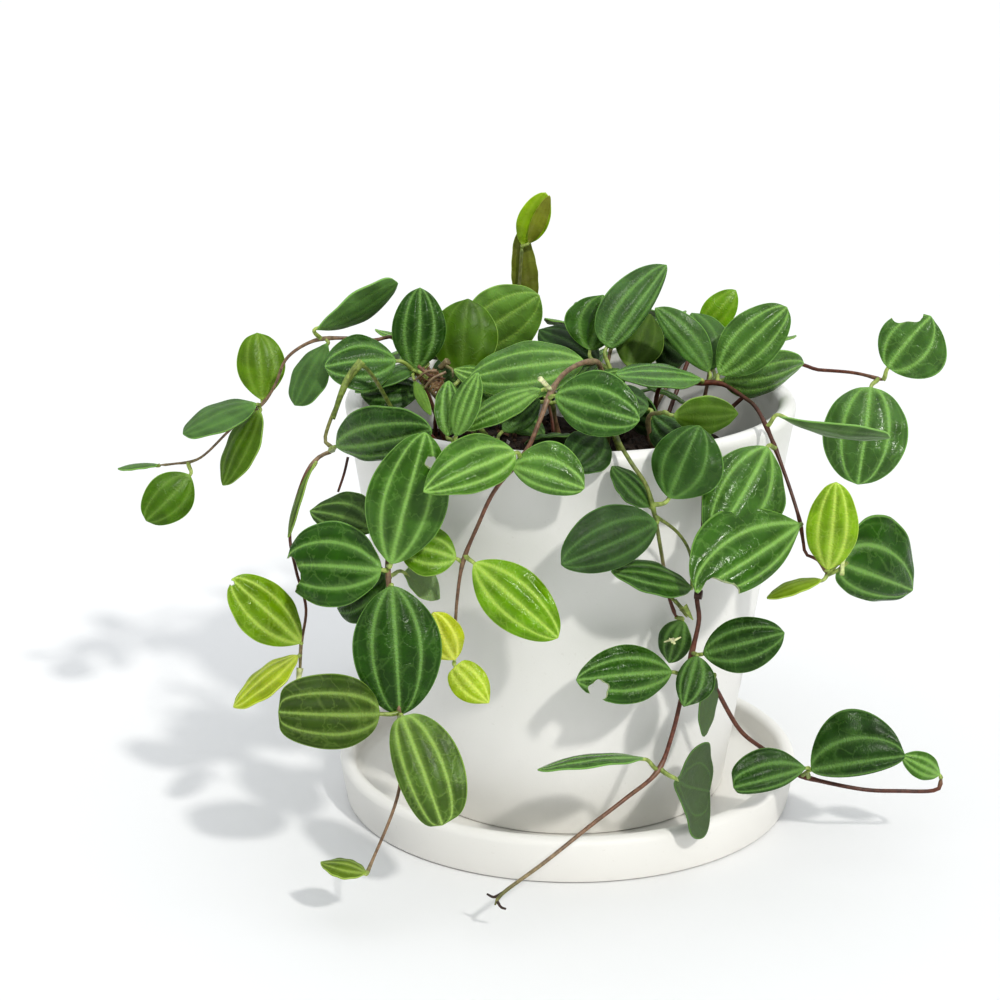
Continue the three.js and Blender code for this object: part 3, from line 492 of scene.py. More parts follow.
def blade_samples(blade):
    """Points spread over a blade, which stand for it when its room is measured."""
    along, across, normal, length = blade_frame(blade)
    t = np.array([0.02, 0.2, 0.4, 0.6, 0.8, 0.98])[:, None]
    s = np.array([-1, -0.5, 0, 0.5, 1])[None, :]
    width, shape = blade["width"], outline(t)
    rise = ARCH * length * 4 * t * (1 - t) - CAMBER * width * s**2 * shape
    reach, side = t * length + 0 * s, s * 0.5 * width * shape * (1 + blade["lean"] * s)
    return (blade["base"] + reach[..., None] * along + side[..., None] * across
            + rise[..., None] * normal).reshape(-1, 3)


# All that a new leaf has to keep clear of: the blades and stems that are already placed.
taken = []


def has_room(points):
    """Whether points keep clear of the pot, the soil, the table and all that is taken."""
    radius, z = np.hypot(points[:, 0], points[:, 1]), points[:, 2]
    beside = (z < RIM_HEIGHT + POT_ROOM) & (radius < pot_radius(z) + POT_ROOM)
    wall = (radius > pot_radius(z) - POT_WALL - POT_ROOM) | (z < SOIL_TOP + POT_ROOM)
    if (z < TABLE_ROOM).any() or (beside & wall).any():
        return False
    for other in taken:
        if (np.linalg.norm(points[:, None] - other[None], axis=2) < LEAF_ROOM).any():
            return False
    return True


def whorl_leaves(path, count, start, leaves, longest):
    """The leaves of a hidden stem. Each whorl spreads evenly round the stem, starting at a
    drawn turn. A leaf that finds no room is turned and shortened, and left out after that."""
    points = course(path)
    up = at(0, 0, 1)
    found = []
    for i in range(count):
        share = start + (1 - start) * i / (count - 1)
        index = min(len(points) - 2, int(share * (len(points) - 1) + 0.5))
        node = points[index]
        ahead = unit(points[index + 1] - node)
        outward = unit(at(node[0], node[1], 0))
        hang = max(0.0, -ahead[2])
        turn = random() * 2 * math.pi
        for j in range(leaves):
            size = longest * (SMALLEST + SIZE_SPREAD * random())
            jitter = random() - 0.5
            for attempt in range(TRIES):
                place = turn + 2 * math.pi * j / leaves
                angle = place + 0.5 * jitter + TRY_TURN * attempt
                spread = unit(at(math.cos(angle), math.sin(angle), 0)
                              + outward * (TURN_OUT + HANG_OUT * hang))
                length = size * (1 - TRY_SHRINK * attempt)
                along = unit(spread + TURN_AHEAD * ahead + up * (LIFT - DROOP * hang))
                base = node + spread * STALK_OUT + ahead * STALK_ON
                blade = {**LEAF, "base": base, "tip": base + along * length,
                         "width": length * (SLENDER + SLENDER_SPREAD * jitter),
                         "roll": ROLL_SPREAD * jitter, "up": up + outward * (FACE_OUT + hang),
                         "age": HIDDEN_AGE - YOUNG_END * share**4 + AGE_SPREAD * jitter,
                         "pale": 0.2, "olive": 0.1, "heel": 0.3}
                samples = blade_samples(blade)
                if has_room(samples):
                    taken.append(samples)
                    found.append(blade)
                    break
    return found


class Shape:
    """A mesh being built from parts, each of points and four-cornered faces. Every part has a
    material number and named values for its points, three numbers each."""

    def __init__(self, *values):
        self.points, self.faces, self.kinds = [], [], []
        self.values = {name: [] for name in values}
        self.count = 0

    def add(self, points, faces, kind=0, **values):
        self.points.append(points)
        self.faces.append(np.asarray(faces) + self.count)
        self.kinds.append(np.full(len(faces), kind))
        for name, rows in self.values.items():
            rows.append(np.broadcast_to(values.get(name, (0, 0, 0)), (len(points), 3)))
        self.count += len(points)

    def stand_in(self, name, materials, smooth=True):
        """Makes the Blender object, in metres, that shows in place of the node name."""
        points, faces = np.vstack(self.points) * MM, np.vstack(self.faces)
        mesh = bpy.data.meshes.new(name + "_fine")
        mesh.vertices.add(len(points))
        mesh.vertices.foreach_set("co", points.ravel())
        mesh.loops.add(faces.size)
        mesh.loops.foreach_set("vertex_index", faces.ravel())
        mesh.polygons.add(len(faces))
        mesh.polygons.foreach_set("loop_start", np.arange(0, faces.size, 4))
        for material in materials:
            mesh.materials.append(material)
        mesh.polygons.foreach_set("material_index", np.concatenate(self.kinds))
        mesh.polygons.foreach_set("use_smooth", np.full(len(faces), smooth))
        for key, rows in self.values.items():
            layer = mesh.attributes.new(key, "FLOAT_VECTOR", "POINT")
            layer.data.foreach_set("vector", np.vstack(rows).astype(np.float32).ravel())
        mesh.update()
        mesh.validate()
        piece = bpy.data.objects.new(name + "_fine", mesh)
        bpy.context.scene.collection.objects.link(piece)
        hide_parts(name)
        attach(piece, "root")


def grid_faces(rows, columns, loop=False):
    """The faces of a grid of points in rows, whose last column may meet its first."""
    last = columns if loop else columns - 1
    i, j = np.meshgrid(np.arange(rows - 1), np.arange(last), indexing="ij")
    a, b = (i * columns + j).ravel(), (i * columns + (j + 1) % columns).ravel()
    return np.stack([a, b, b + columns, a + columns], axis=1)


def add_tube(shape, points, radii, sides, tone, near=0.0):
    """A round tube along points, closed by flat ends, with a radius and a tone at each."""
    heads = unit(np.gradient(points, axis=0))
    side = np.cross(heads[0], at(0, 0, 1) if abs(heads[0][2]) < 0.9 else at(1, 0, 0))
    sides_at = []
    for head in heads:
        side = unit(side - head * side.dot(head))
        sides_at.append(side)
    sides_at = np.array(sides_at)
    others = np.cross(heads, sides_at)
    angle = np.linspace(0, 2 * np.pi, sides, endpoint=False)[None, :, None]
    spokes = np.cos(angle) * sides_at[:, None] + np.sin(angle) * others[:, None]
    rings = points[:, None] + radii[:, None, None] * spokes
    start = [(0, k + 2, k + 1, k) for k in range(1, sides - 1, 2)]
    first = (len(points) - 1) * sides
    end = [(first, first + k, first + k + 1, first + k + 2) for k in range(1, sides - 1, 2)]
    faces = np.vstack([grid_faces(len(points), sides, loop=True), start, end])
    tint = np.stack(np.broadcast_arrays(tone, near, 0 * radii), axis=1)
    shape.add(rings.reshape(-1, 3), faces, 1, stem=np.repeat(tint, sides, axis=0))


def resampled(points, step):
    """The same line in even steps, with each new point's distance along it."""
    reach = np.concatenate([[0], np.cumsum(np.linalg.norm(np.diff(points, axis=0), axis=1))])
    count = max(3, int(round(reach[-1] / step)) + 1)
    distances = np.linspace(0, reach[-1], count)
    return np.stack([np.interp(distances, reach, points[:, k]) for k in range(3)], 1), distances


def nearest(runs, base):
    """The run and the point of it that a leaf grows from: the nearest to the leaf's base."""
    gaps = [np.linalg.norm(run - base, axis=1) for run in runs]
    best = min(range(len(runs)), key=lambda k: gaps[k].min())
    return best, int(np.argmin(gaps[best]))


def smooth_step(x, low, high):
    """0 below low, 1 above high, and smooth between them."""
    x = np.clip((x - low) / (high - low), 0, 1)
    return x * x * (3 - 2 * x)


def cut_place(blade, column, row):
    """How far along and across a blade lies the point of it that the picture shows there."""
    along, across, normal, _ = blade_frame(blade)
    ray = seen(column, row, 0) - EYE
    reach = (blade["base"] - EYE).dot(normal) / ray.dot(normal)
    offset = EYE + ray * reach - blade["base"]
    return offset.dot(along), offset.dot(across)


def add_blade(shape, blade, chance):
    """One leaf blade: two faces over the same grid, joined at the margin and round holes.
    It has sunken main veins, puffed bands between them and a slightly waved margin."""
    along, across, normal, length = blade_frame(blade)
    width = blade["width"]
    small = width < SMALL_LEAF and not blade["cuts"]
    rows, columns = (SMALL_ROWS, SMALL_COLUMNS) if small else (ROWS, COLUMNS)
    u = np.linspace(0, 1, rows)
    t = (EVEN * u + (1 - EVEN) * 0.5 * (1 - np.cos(np.pi * u)))[:, None]
    s = np.linspace(-1, 1, columns)[None, :]
    t, s = np.broadcast_arrays(t, s)
    shape_at = outline(t, blade["blunt"], blade["broad"], blade["heel"])
    shape_at = np.maximum(shape_at, NARROWEST)
    lean = blade["lean"] + chance.uniform(-LEAN_DRAW, LEAN_DRAW)
    half = 0.5 * width * shape_at * (1 + lean * s)
    half = half * (1 - CURL * blade["dead"] ** 2 * (np.sin(37 * t + 9 * np.sign(s)) + 1))
    x, y = t * length, s * half
    y = y + chance.uniform(-SHIFT_DRAW, SHIFT_DRAW) * width * np.sin(np.pi * t)
    x = x - SWEEP * length * s**2 * np.sin(np.pi * t)
    x = x + TIP_REACH * np.exp(-(y / TIP_BREADTH) ** 2) * smooth_step(t, 0.9, 1)

    valley = np.zeros_like(t)
    for place, depth in zip(VEINS, VEIN_DEPTHS):
        gap = np.abs(np.abs(s) - place) * half
        valley = np.maximum(valley, depth * np.exp(-(gap / VEIN_VALLEY) ** 2))
    calm = 0.35 + 0.65 * math.cos(math.radians(blade["roll"])) ** 2
    strength = PUFF * (0.55 + 0.45 * blade["age"]) * min(1.0, width / FULL_WIDTH) * calm
    strength = strength * (1 - PLAIN_PUFF * blade["plain"] ** 2)
    ends = smooth_step(t, 0, 0.12) * smooth_step(1 - t, 0, 0.1)
    phase, waves = chance.uniform(0, 6.3, 4), chance.uniform(2.2, 3.6, 2)
    margin = np.sin(2 * np.pi * waves[0] * t + phase[0] + 1.3 * np.sign(s)) * np.abs(s) ** 3
    swell = np.sin(0.55 * x + phase[1]) * np.sin(0.6 * y + phase[2])
    rise = ARCH * length * 4 * t * (1 - t) - CAMBER * width * s**2 * shape_at
    waved = MARGIN_WAVE * width * calm * margin + SWELL * swell
    rise = rise + ends * (strength * (0.5 - valley) + waved)

    faces = grid_faces(rows, columns)
    x, y = x.ravel(), y.ravel()
    scar = np.zeros(rows * columns)
    for column, row, radius in blade["cuts"]:
        cx, cy = cut_place(blade, column, row)
        gone = np.hypot(x[faces].mean(axis=1) - cx, y[faces].mean(axis=1) - cy) < radius
        rim = np.intersect1d(faces[gone], faces[~gone])
        faces = faces[~gone]
        dx, dy = x[rim] - cx, y[rim] - cy
        edge = radius * (1 + BITE_WAVE * np.sin(5 * np.arctan2(dy, dx) + phase[3]))
        x[rim] = cx + dx * edge / np.hypot(dx, dy)
        y[rim] = cy + dy * edge / np.hypot(dx, dy)
        scar[rim] = 1

    thick = EDGE_THICK + (LEAF_THICK - EDGE_THICK) * (1 - np.abs(s) ** 3) * ends
    top = (blade["base"] + x[:, None] * along + y[:, None] * across
           + rise.reshape(-1, 1) * normal)
    under = top - thick.reshape(-1, 1) * normal

    edges = np.vstack([faces[:, [k, (k + 1) % 4]] for k in range(4)])
    keys = np.sort(edges, axis=1) @ np.array([rows * columns, 1])
    _, which, times = np.unique(keys, return_inverse=True, return_counts=True)
    lone = edges[times[which.ravel()] == 1]
    count = rows * columns
    walls = np.stack([lone[:, 1], lone[:, 0], lone[:, 0] + count, lone[:, 1] + count], axis=1)
    all_faces = np.vstack([faces, faces[:, ::-1] + count, walls])

    look = (blade["age"], blade["pale"], blade["olive"])
    place = np.stack([t, s, np.ones_like(t)], axis=-1).reshape(-1, 3)
    size = np.stack([x + 40 * chance.random(), y, half.ravel()], axis=-1)
    mark = np.stack([scar, 0 * scar + blade["dead"], 0 * scar + blade["plain"]], axis=-1)
    shape.add(np.vstack([top, under]), all_faces[:, ::-1], 0, look=look,
              place=np.vstack([place, place * (1, 1, -1)]), size=np.vstack([size, size]),
              mark=np.vstack([mark, mark]))
    return top.reshape(rows, columns, 3)[:, columns // 2] - 0.5 * LEAF_THICK * normal


def add_stalk(shape, blade, root, heading, rib):
    """A leaf's stalk, from inside the stem to the underside of the blade's middle vein."""
    along, _, normal, _ = blade_frame(blade)
    neck = rib[0] - NECK_DEPTH * normal
    reach = np.linalg.norm(neck - root)
    leave = unit(unit(neck - root) + STALK_AHEAD * heading)
    t = np.linspace(0, 1, STALK_STEPS)[:, None]
    a, b = root + leave * reach * STALK_BEND, neck - along * reach * STALK_BEND
    bend = (root * (1 - t) ** 3 + 3 * a * t * (1 - t) ** 2 + 3 * b * t**2 * (1 - t)
            + neck * t**3)
    under = rib[2 : max(6, len(rib) // 3) : 2] - RIB_DEPTH * normal
    points = np.vstack([bend, under])
    girth = STALK_RADIUS * (0.8 + 0.2 * min(1.3, blade["width"] / FULL_WIDTH))
    radii = np.concatenate([np.linspace(1.25, 0.95, STALK_STEPS),
                            np.linspace(0.85, 0.15, len(under))]) * girth
    tone = np.linspace(*STALK_TONES, len(points)) + 0.05 * (1 - blade["age"])
    add_tube(shape, points, radii, STALK_SIDES, tone)


def add_stem(shape, run, girth, roots, tones):
    """One stem or branch, a little thicker and greener at the nodes where its leaves stand."""
    points, reach = resampled(run, STEM_STEP)
    share = reach / reach[-1]
    radii = STEM_SLIM * (girth[0] + (girth[1] - girth[0]) * share)
    near = np.zeros_like(reach)
    for root in roots:
        gap = np.linalg.norm(points - root, axis=1)
        near = np.maximum(near, np.exp(-(gap / NODE_REACH) ** 2))
    radii = radii * (1 + NODE_SWELL * near)
    radii[-1] *= END_TAPER
    tone = np.interp(share, np.linspace(0, 1, len(tones)), tones)
    add_tube(shape, points, radii, STEM_SIDES, tone, near)


def leafy_stem(name, plan, blades, materials, seed):
    """A whole leafy stem as one piece, in the place of its node."""
    chance = np.random.default_rng(seed)
    shape = Shape("place", "size", "look", "mark", "stem")
    runs = [course(path, FINE_STEPS) for _, _, path in plan["runs"]]
    roots = [[] for _ in runs]
    for blade in blades:
        k, index = nearest(runs, blade["base"])
        root = runs[k][index]
        ahead = runs[k][min(index + 1, len(runs[k]) - 1)]
        heading = unit(ahead - runs[k][max(index - 1, 0)])
        roots[k].append(root)
        rib = add_blade(shape, blade, chance)
        add_stalk(shape, blade, root, heading, rib)
    for (girth, tones, _), run, own_roots in zip(plan["runs"], runs, roots):
        add_stem(shape, run, girth, own_roots, tones)
    for radii, tone, path in plan["twigs"]:
        points = course(path)
        add_tube(shape, points, np.linspace(*radii, len(points)), STALK_SIDES, tone)
    shape.stand_in(name, materials)


def turned(name, material, profile):
    """A round piece turned from a closed profile of (radius, height) points in mm."""
    profile = np.vstack(profile)
    shape = Shape()
    angle = np.linspace(0, 2 * np.pi, ROUND_SIDES, endpoint=False)
    rings = np.stack([profile[:, :1] * np.cos(angle), profile[:, :1] * np.sin(angle),
                      np.repeat(profile[:, 1:], ROUND_SIDES, axis=1)], axis=-1)
    shape.add(rings.reshape(-1, 3), grid_faces(len(profile), ROUND_SIDES, loop=True)[:, ::-1])
    shape.stand_in(name, [material])


def arc(x, z, radius, start, end, steps):
    """Points round (x, z) from one angle to another, in degrees."""
    angle = np.radians(np.linspace(start, end, steps + 1))
    return np.stack([x + radius * np.cos(angle), z + radius * np.sin(angle)], 1)


def line(a, b, steps):
    """Points from a towards b, without b, so that a long wall has small faces."""
    return np.linspace(a, b, steps + 1)[:-1]


def pot_piece(material):
    """The pot: tapered, with a rounded rim, a floor and a drain hole."""
    lip = POT_WALL / 2
    rim = POT_RIM_RADIUS - lip
    inner = pot_radius(POT_Z + POT_FLOOR + POT_FILLET) - POT_WALL
    seat = SAUCER_FLOOR + POT_SEAT
    foot_edge = arc(POT_BASE_RADIUS - POT_EDGE, seat + POT_EDGE, POT_EDGE, -90, -8, 6)
    top = arc(rim, RIM_HEIGHT - lip, lip, -8, 188, 18)
    fillet = (inner, POT_Z + POT_FLOOR + POT_FILLET)
    turned("pot", material, [
        [(DRAIN_RADIUS, seat)],
        foot_edge,
        line(foot_edge[-1], top[0], 24)[1:],
        top,
        line(top[-1], fillet, 16)[1:],
        [fillet],
        [(inner - POT_FILLET, POT_Z + POT_FLOOR)],
        [(DRAIN_RADIUS, POT_Z + POT_FLOOR)],
        [(DRAIN_RADIUS, seat)],
    ])


def saucer_piece(material):
    """The saucer: flat, with an upright wall and a rounded lip."""
    lip = SAUCER_WALL / 2
    inner = SAUCER_RADIUS - SAUCER_WALL
    turned("saucer", material, [
        [(MIDDLE, 0)],
        arc(SAUCER_FOOT_RADIUS, SAUCER_EDGE, SAUCER_EDGE, -90, -20, 6),
        arc(SAUCER_RADIUS - lip, SAUCER_HEIGHT - lip, lip, 0, 180, 16),
        arc(inner - SAUCER_FILLET, SAUCER_FLOOR + SAUCER_FILLET, SAUCER_FILLET, 0, -90, 8),
        [(MIDDLE, SAUCER_FLOOR)],
        [(MIDDLE, 0)],
    ])


def crumb(centre, size, chance):
    """A small angular lump: a rounded box with its corners moved about."""
    corners = np.array([(x, y, z) for z in (-1, 1) for y in (-1, 1) for x in (-1, 1)], float)
    corners = corners * size * chance.uniform(0.55, 1.0, (8, 3))
    turn, _ = np.linalg.qr(chance.normal(size=(3, 3)))
    if np.linalg.det(turn) < 0:
        turn[:, 0] = -turn[:, 0]
    faces = [(0, 2, 3, 1), (4, 5, 7, 6), (0, 1, 5, 4), (2, 6, 7, 3), (0, 4, 6, 2), (1, 3, 7, 5)]
    return centre + corners @ turn.T, faces


def soil_piece(material):
    """The soil with an uneven top, strewn with crumbs of bark, peat and white perlite."""
    chance = np.random.default_rng(5)
    bottom = POT_Z + POT_FLOOR + REST_GAP
    inset = POT_WALL + SOIL_GAP
    edge = pot_radius(SOIL_TOP - 1) - inset
    low = pot_radius(bottom + POT_FILLET + 1) - inset
    share = np.linspace(0, 1, SOIL_RINGS) ** RING_CROWD
    angle = np.linspace(0, 2 * np.pi, SOIL_SIDES, endpoint=False)
    radius = MIDDLE + share[:, None] * (edge - MIDDLE) + 0 * angle
    x, y = radius * np.cos(angle), radius * np.sin(angle)
    bumps = np.zeros_like(x)
    for reach, height in BUMPS:
        for _ in range(BUMP_WAVES):
            way, phase = chance.uniform(0, 6.3, 2)
            wave = (x * math.cos(way) + y * math.sin(way)) * 2 * math.pi / reach
            bumps += BUMP_SHARE * height * np.sin(wave + phase)
    z = SOIL_TOP - 0.4 + bumps - WALL_DIP * smooth_step(share, 0.9, 1)[:, None]
    top = np.stack([x, y, z], -1)
    wall = [np.stack([r * np.cos(angle), r * np.sin(angle), 0 * angle + h], -1)
            for r, h in ((edge - 0.3, SOIL_TOP - 6), (low, bottom + POT_FILLET + 1),
                         (low - POT_FILLET - 1, bottom), (MIDDLE, bottom))]
    points = np.concatenate([top, np.array(wall)]).reshape(-1, 3)
    shape = Shape("grain")
    faces = grid_faces(SOIL_RINGS + len(wall), SOIL_SIDES, loop=True)
    shape.add(points, faces, grain=(0.25, 0, 0))
    for _ in range(CRUMBS):
        r, way = (edge - 2.5) * math.sqrt(chance.random()), chance.uniform(0, 6.3)
        kind = chance.random()
        flat = chance.uniform(0.35, 0.8)
        girth = chance.uniform(*CRUMB_SIZES) * (1.2 if kind < 0.3 else 0.8)
        size = np.array([girth, girth * chance.uniform(0.5, 0.9), girth * flat])
        centre = at(r * math.cos(way), r * math.sin(way), SOIL_TOP - 0.1 + 0.3 * girth)
        grain = 1.0 if kind > PERLITE_FROM else (0.6 if kind > BARK_FROM else 0.1)
        points, faces = crumb(centre, size, chance)
        shape.add(points, faces, grain=(grain, chance.random(), 0))
    shape.stand_in("soil", [material], smooth=False)


class Value:
    """An output of a node. Sums, products and the like of it make further nodes."""

    def __init__(self, paint, socket):
        self.paint, self.socket = paint, socket

    def __add__(self, other):
        return self.paint.math("ADD", self, other)

    def __sub__(self, other):
        return self.paint.math("SUBTRACT", self, other)

    def __mul__(self, other):
        return self.paint.math("MULTIPLY", self, other)

    def __abs__(self):
        return self.paint.math("ABSOLUTE", self)


class Paint:
    """The nodes of a material or a world. An input is a number, a colour or a Value."""

    def __init__(self, owner):
        self.owner = owner
        owner.use_nodes = True
        self.nodes, self.links = owner.node_tree.nodes, owner.node_tree.links
        self.nodes.clear()

    def node(self, kind, inputs=None, output=0, **settings):
        made = self.nodes.new("ShaderNode" + kind)
        for key, value in settings.items():
            setattr(made, key, value)
        for key, value in (inputs or {}).items():
            socket = made.inputs[key]
            if isinstance(value, Value):
                self.links.new(value.socket, socket)
            else:
                socket.default_value = (*value, 1) if socket.type == "RGBA" else value
        return Value(self, made.outputs[output]) if made.outputs else None

    def math(self, operation, a, b=0.0, clamp=False):
        return self.node("Math", {0: a, 1: b}, operation=operation, use_clamp=clamp)

    def most(self, a, b):
        return self.math("MAXIMUM", a, b)

    def mix(self, share, a, b, blend="MIX"):
        return self.node("Mix", {0: share, 6: a, 7: b}, 2, data_type="RGBA", blend_type=blend)

    def shaded(self, colour, value):
        return self.mix(1.0, colour, self.vector(value, value, value), "MULTIPLY")

    def fade(self, value, low, high, start=0.0, end=1.0):
        """start below low, end above high, and smooth between them."""
        names = {"Value": value, "From Min": low, "From Max": high, "To Min": start, "To Max": end}
        return self.node("MapRange", names, interpolation_type="SMOOTHSTEP")

    def ramp(self, value, *stops):
        made = self.node("ValToRGB", {0: value})
        elements = made.socket.node.color_ramp.elements
        while len(elements) < len(stops):
            elements.new(0.5)
        for element, (place, colour) in zip(elements, stops):
            element.position, element.color = place, (*colour, 1)
        return made

    def three(self, name):
        """The three numbers of a mesh's named values."""
        vector = self.node("Attribute", output="Vector", attribute_name=name)
        return [self.node("SeparateXYZ", {0: vector}, k) for k in range(3)]

    def vector(self, x, y, z):
        return self.node("CombineXYZ", {0: x, 1: y, 2: z})

    def noise(self, vector, scale, detail=2.0, rough=0.5):
        inputs = {"Vector": vector, "Scale": scale, "Detail": detail, "Roughness": rough}
        return self.node("TexNoise", inputs, "Fac")

    def bump(self, height, strength, distance):
        return self.node("Bump", {"Height": height, "Strength": strength, "Distance": distance})

    def finished(self, inputs):
        self.node("OutputMaterial", {0: self.node("BsdfPrincipled", inputs)})
        return self.owner


def leaf_material():
    """Waxy leaf: main veins in soft ragged light bands, faint cross veins between them, fine
    wrinkles across the bands, a thin light margin and a dull grey-green underside."""
    p = Paint(bpy.data.materials.new("leaf"))
    t, s, side = p.three("place")
    x, y, half = p.three("size")
    age, pale, olive = p.three("look")
    scar, dead, plain = p.three("mark")
    place_mm = p.vector(x, y, age)
    aside = abs(s)
    narrowing = p.fade(t, 0.1, 1.0, 1.0, 0.5)
    wander = p.noise(place_mm, 0.45) - 0.5
    ragged = (p.noise(p.vector(x * 1.7, y * 0.45, age), 1.0, 3.0, 0.6) - 0.5) * 0.9

    def veins(widths, strengths, rough):
        """Each vein's strength along it, falling to 0 at its width in mm from it."""
        found = 0.0
        for place, width, strength in zip(VEINS, widths, strengths):
            gap = abs(aside - place) * half + wander * 0.3 + rough
            found = p.most(found, p.fade(gap, 0.05, narrowing * width, 1.0, 0.0) * strength)
        return found

    core = veins((0.9, 0.8, 0.4), (1.0, 0.9, 0.1), ragged * 0.35)
    border = veins((2.2, 2.0, 1.2), (1.0, 0.85, 0.1), ragged)
    waver = wander * 1.1
    stretched = p.vector(x * 0.2 + waver, y * 0.22 + waver, age)
    net = p.node("TexVoronoi", {"Vector": stretched, "Scale": 1.0, "Randomness": 0.9},
                 "Distance", feature="DISTANCE_TO_EDGE")
    net = p.fade(net, 0.0, 0.07, 0.2, 0.0)
    lines = p.most(core, net) * p.fade(plain, 0.0, 1.0, 1.0, 0.08)
    lines = p.most(lines, p.fade(t, 0.0, 0.09, 0.7, 0.0))

    body = p.ramp(age, (0.0, (0.3, 0.45, 0.002)), (0.25, (0.13, 0.28, 0.001)),
                  (0.5, (0.047, 0.139, 0.001)), (0.8, (0.021, 0.081, 0.001)),
                  (1.0, (0.008, 0.032, 0.001)))
    light = p.ramp(age, (0.0, (0.72, 0.85, 0.16)), (0.25, (0.44, 0.62, 0.1)),
                   (0.5, (0.31, 0.52, 0.12)), (0.8, (0.22, 0.41, 0.095)),
                   (1.0, (0.09, 0.19, 0.045)))
    body = p.mix(olive, body, (1.8, 1.0, 0.5), "MULTIPLY")
    body = p.mix(pale * 0.6, body, (0.11, 0.19, 0.075))
    light = p.mix(olive, light, (1.35, 1.05, 1.0), "MULTIPLY")
    light = p.mix(pale * 0.5, light, (0.19, 0.42, 0.11))
    body = p.shaded(body, p.fade(p.noise(place_mm, 0.16, 3.0), 0.3, 0.7, 0.75, 1.25))
    upper = p.mix(border * p.fade(plain, 0.0, 1.0, 0.4, 0.08), body, light)
    upper = p.mix(lines * 0.85, upper, light)
    # The underside: body mixed with grey-green, or for pale leaves a light sage, which is partly their
    # own colour and partly painted light shining through the blade.
    lower = p.mix(0.6, body, p.mix(pale, (0.085, 0.12, 0.06), (0.3, 0.39, 0.21)))
    lower = p.mix(lines * 0.35, lower, light)
    colour = p.mix(p.fade(side, -0.4, 0.2), lower, upper)
    colour = p.mix(p.fade(aside, 0.96, 0.99, 0.0, 0.7), colour, light)
    colour = p.mix(p.fade(scar, 0.7, 1.0), colour, (0.4, 0.46, 0.25))
    withered = p.ramp(wander, (0.0, (0.16, 0.09, 0.04)), (0.3, (0.36, 0.26, 0.14)))

    wrinkles = p.noise(p.vector(x * 2.2, y * 1.3, age), 1.0, 2.0, 0.6)
    height = wrinkles * (border * 0.8 + 0.2) * p.fade(plain, 0.2, 1.0, 1.0, 0.2) - net * 0.5
    dull = p.fade(side, -0.4, 0.2, 0.3, 0.0) + pale * 0.1
    matt = p.fade(age, 0.78, 0.92, 0.0, 0.2) + olive * 0.25 + plain * 0.2
    return p.finished({
        "Base Color": p.mix(dead, colour, withered),
        "Roughness": p.fade(p.noise(place_mm, 0.5), 0.3, 0.7, 0.1, 0.2) + dull + matt,
        "Normal": p.bump(height, 1.0, 0.0004),
        "Specular IOR Level": 0.26,
        "Subsurface Weight": 0.12,
        "Subsurface Radius": (0.35, 1.0, 0.02),
        "Subsurface Scale": 0.0012,
    })


def stem_material():
    """Stems and leaf stalks: from dark brown over red-brown to green, finely streaked."""
    p = Paint(bpy.data.materials.new("stem"))
    tone, near, _ = p.three("stem")
    place = p.node("TexCoord", output="Object")
    streak = p.noise(place, 900.0, 3.0)
    patch = p.noise(place, 180.0)
    tone = p.math("ADD", tone + near * 0.08, (patch - 0.5) * 0.2, clamp=True)
    colour = p.ramp(tone, (0.0, (0.035, 0.015, 0.009)), (0.25, (0.12, 0.036, 0.018)),
                    (0.5, (0.24, 0.17, 0.1)), (0.75, (0.13, 0.18, 0.03)),
                    (0.9, (0.42, 0.52, 0.14)), (1.0, (0.72, 0.7, 0.45)))
    return p.finished({
        "Base Color": p.shaded(colour, p.fade(streak, 0.3, 0.7, 0.65, 1.3)),
        "Roughness": p.fade(patch, 0.3, 0.7, 0.35, 0.55),
        "Normal": p.bump(streak, 0.4, 0.0002),
        "Subsurface Weight": 0.1,
        "Subsurface Radius": (0.6, 1.0, 0.3),
        "Subsurface Scale": 0.0006,
    })


def ceramic_material():
    """Matte warm-white ceramic, very slightly uneven, darker and warmer in cloudy patches towards the
    bottom.
    """
    p = Paint(bpy.data.materials.new("ceramic"))
    place = p.node("TexCoord", output="Object")
    height = p.node("SeparateXYZ", {0: place}, 2)
    cloud = p.noise(place, 14.0, 4.0, 0.6)
    speck = p.noise(place, 900.0)
    base = p.ramp(cloud, (0.3, (0.8, 0.79, 0.755)), (0.7, (0.86, 0.85, 0.82)))
    base = p.mix(p.fade(speck, 0.68, 0.76, 0.0, 0.12), base, (0.5, 0.46, 0.4))
    # Cloudy patches darker and warmer towards the bottom, below 30 mm up; the saucer lies wholly in
    # this band.
    low_darkening = p.fade(height, 0.006, 0.03, 0.35, 0.0) * cloud
    return p.finished({
        "Base Color": p.mix(low_darkening, base, (0.62, 0.58, 0.5)),
        "Roughness": p.fade(cloud, 0.3, 0.7, 0.42, 0.55),
        "Normal": p.bump(p.noise(place, 2200.0) + cloud * 3.0, 0.12, 0.0002),
    })


def soil_material():
    """Dark potting soil: peat, bark crumbs in browns, and white perlite."""
    p = Paint(bpy.data.materials.new("soil"))
    grain, tint, _ = p.three("grain")
    place = p.node("TexCoord", output="Object")
    fine = p.noise(place, 700.0, 5.0, 0.7)
    peat = p.ramp(fine, (0.3, (0.008, 0.005, 0.003)), (0.7, (0.05, 0.03, 0.018)))
    bark = p.ramp(tint, (0.0, (0.035, 0.018, 0.01)), (1.0, (0.16, 0.085, 0.045)))
    colour = p.mix(p.fade(grain, 0.4, 0.6), peat, bark)
    colour = p.mix(p.fade(grain, 0.9, 1.0), colour, (0.6, 0.58, 0.54))
    speckle = p.ramp(fine, (0.3, (0.3, 0.3, 0.3)), (0.7, (1.5, 1.5, 1.5)))
    return p.finished({
        "Base Color": p.mix(0.5, colour, p.mix(1.0, colour, speckle, "MULTIPLY")),
        "Roughness": 0.92,
        "Normal": p.bump(fine, 0.8, 0.0008),
    })


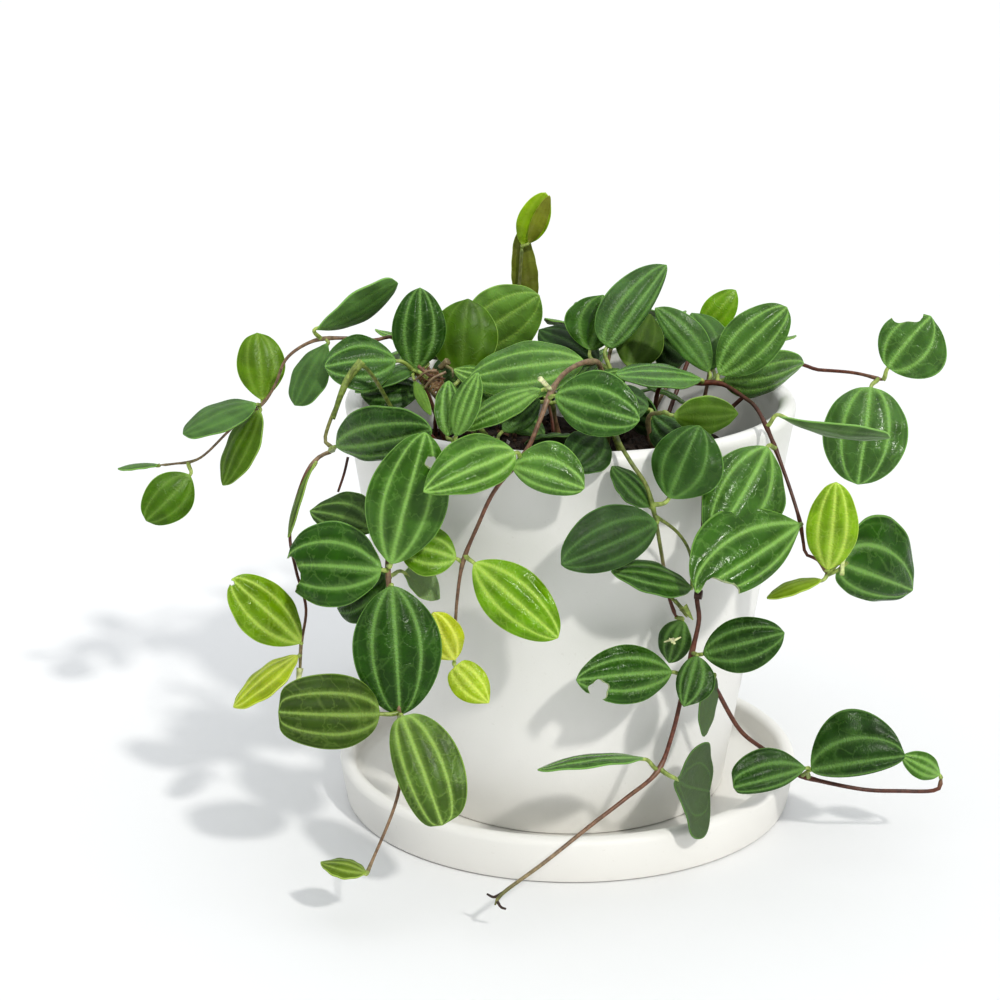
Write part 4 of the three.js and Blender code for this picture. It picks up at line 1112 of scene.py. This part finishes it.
def studio():
    """A pale floor, a pale surround and a soft main light from the viewer's upper right."""
    bpy.ops.mesh.primitive_plane_add(size=1)
    floor = bpy.context.object
    floor.name = "floor"
    floor.scale = (40, 40, 1)
    floor.location = (0, 0, -0.0002)
    paint = Paint(bpy.data.materials.new("floor"))
    floor.data.materials.append(paint.finished({"Base Color": (0.8, 0.8, 0.8), "Roughness": 0.6}))
    p = Paint(bpy.data.worlds.new("surround"))
    bpy.context.scene.world = p.owner
    height = p.node("SeparateXYZ", {0: p.node("TexCoord", output="Generated")}, 2)
    glow = p.fade(height, 0.25, 0.95, SURROUND_LOW, SURROUND_HIGH)
    p.node("OutputWorld", {0: p.node("Background", {0: (0.95, 0.975, 1.0), 1: glow})})
    lamp = bpy.data.lights.new("main", "SUN")
    lamp.energy, lamp.angle, lamp.color = MAIN_LIGHT, math.radians(MAIN_SOFT), (1.0, 0.985, 0.95)
    holder = bpy.data.objects.new("main", lamp)
    bpy.context.scene.collection.objects.link(holder)
    holder.rotation_euler = (math.radians(90 - MAIN_HIGH), 0, math.radians(MAIN_ASIDE))
    bpy.context.scene.view_settings.view_transform = "Standard"
    bpy.context.scene.view_settings.look = "Medium High Contrast"


def camera():
    view = bpy.data.cameras.new("camera")
    view.sensor_width = SENSOR
    view.lens = VIEW_LENS / (2 * VIEW_CENTRE) * SENSOR
    view.clip_start, view.clip_end = 0.05, 50
    holder = bpy.data.objects.new("camera", view)
    bpy.context.scene.collection.objects.link(holder)
    holder.location = EYE * MM
    holder.rotation_euler = (math.pi / 2 - VIEW_PITCH, 0, 0)
    bpy.context.scene.camera = holder


camera()
studio()

ceramic = ceramic_material()
pot_piece(ceramic)
saucer_piece(ceramic)
soil_piece(soil_material())

for plan in STEMS.values():
    taken.extend(course(path) for _, _, path in plan["runs"])
    taken.extend(blade_samples(blade) for blade in plan["leaves"])

green = [leaf_material(), stem_material()]
for seed, (name, plan) in enumerate(STEMS.items()):
    if plan["whorls"]:
        leaves = whorl_leaves(plan["runs"][0][2], *plan["whorls"])
        leafy_stem(name, plan, leaves, green, HIDDEN_SEED + seed)
    else:
        leafy_stem(name, plan, plan["leaves"], green, seed)
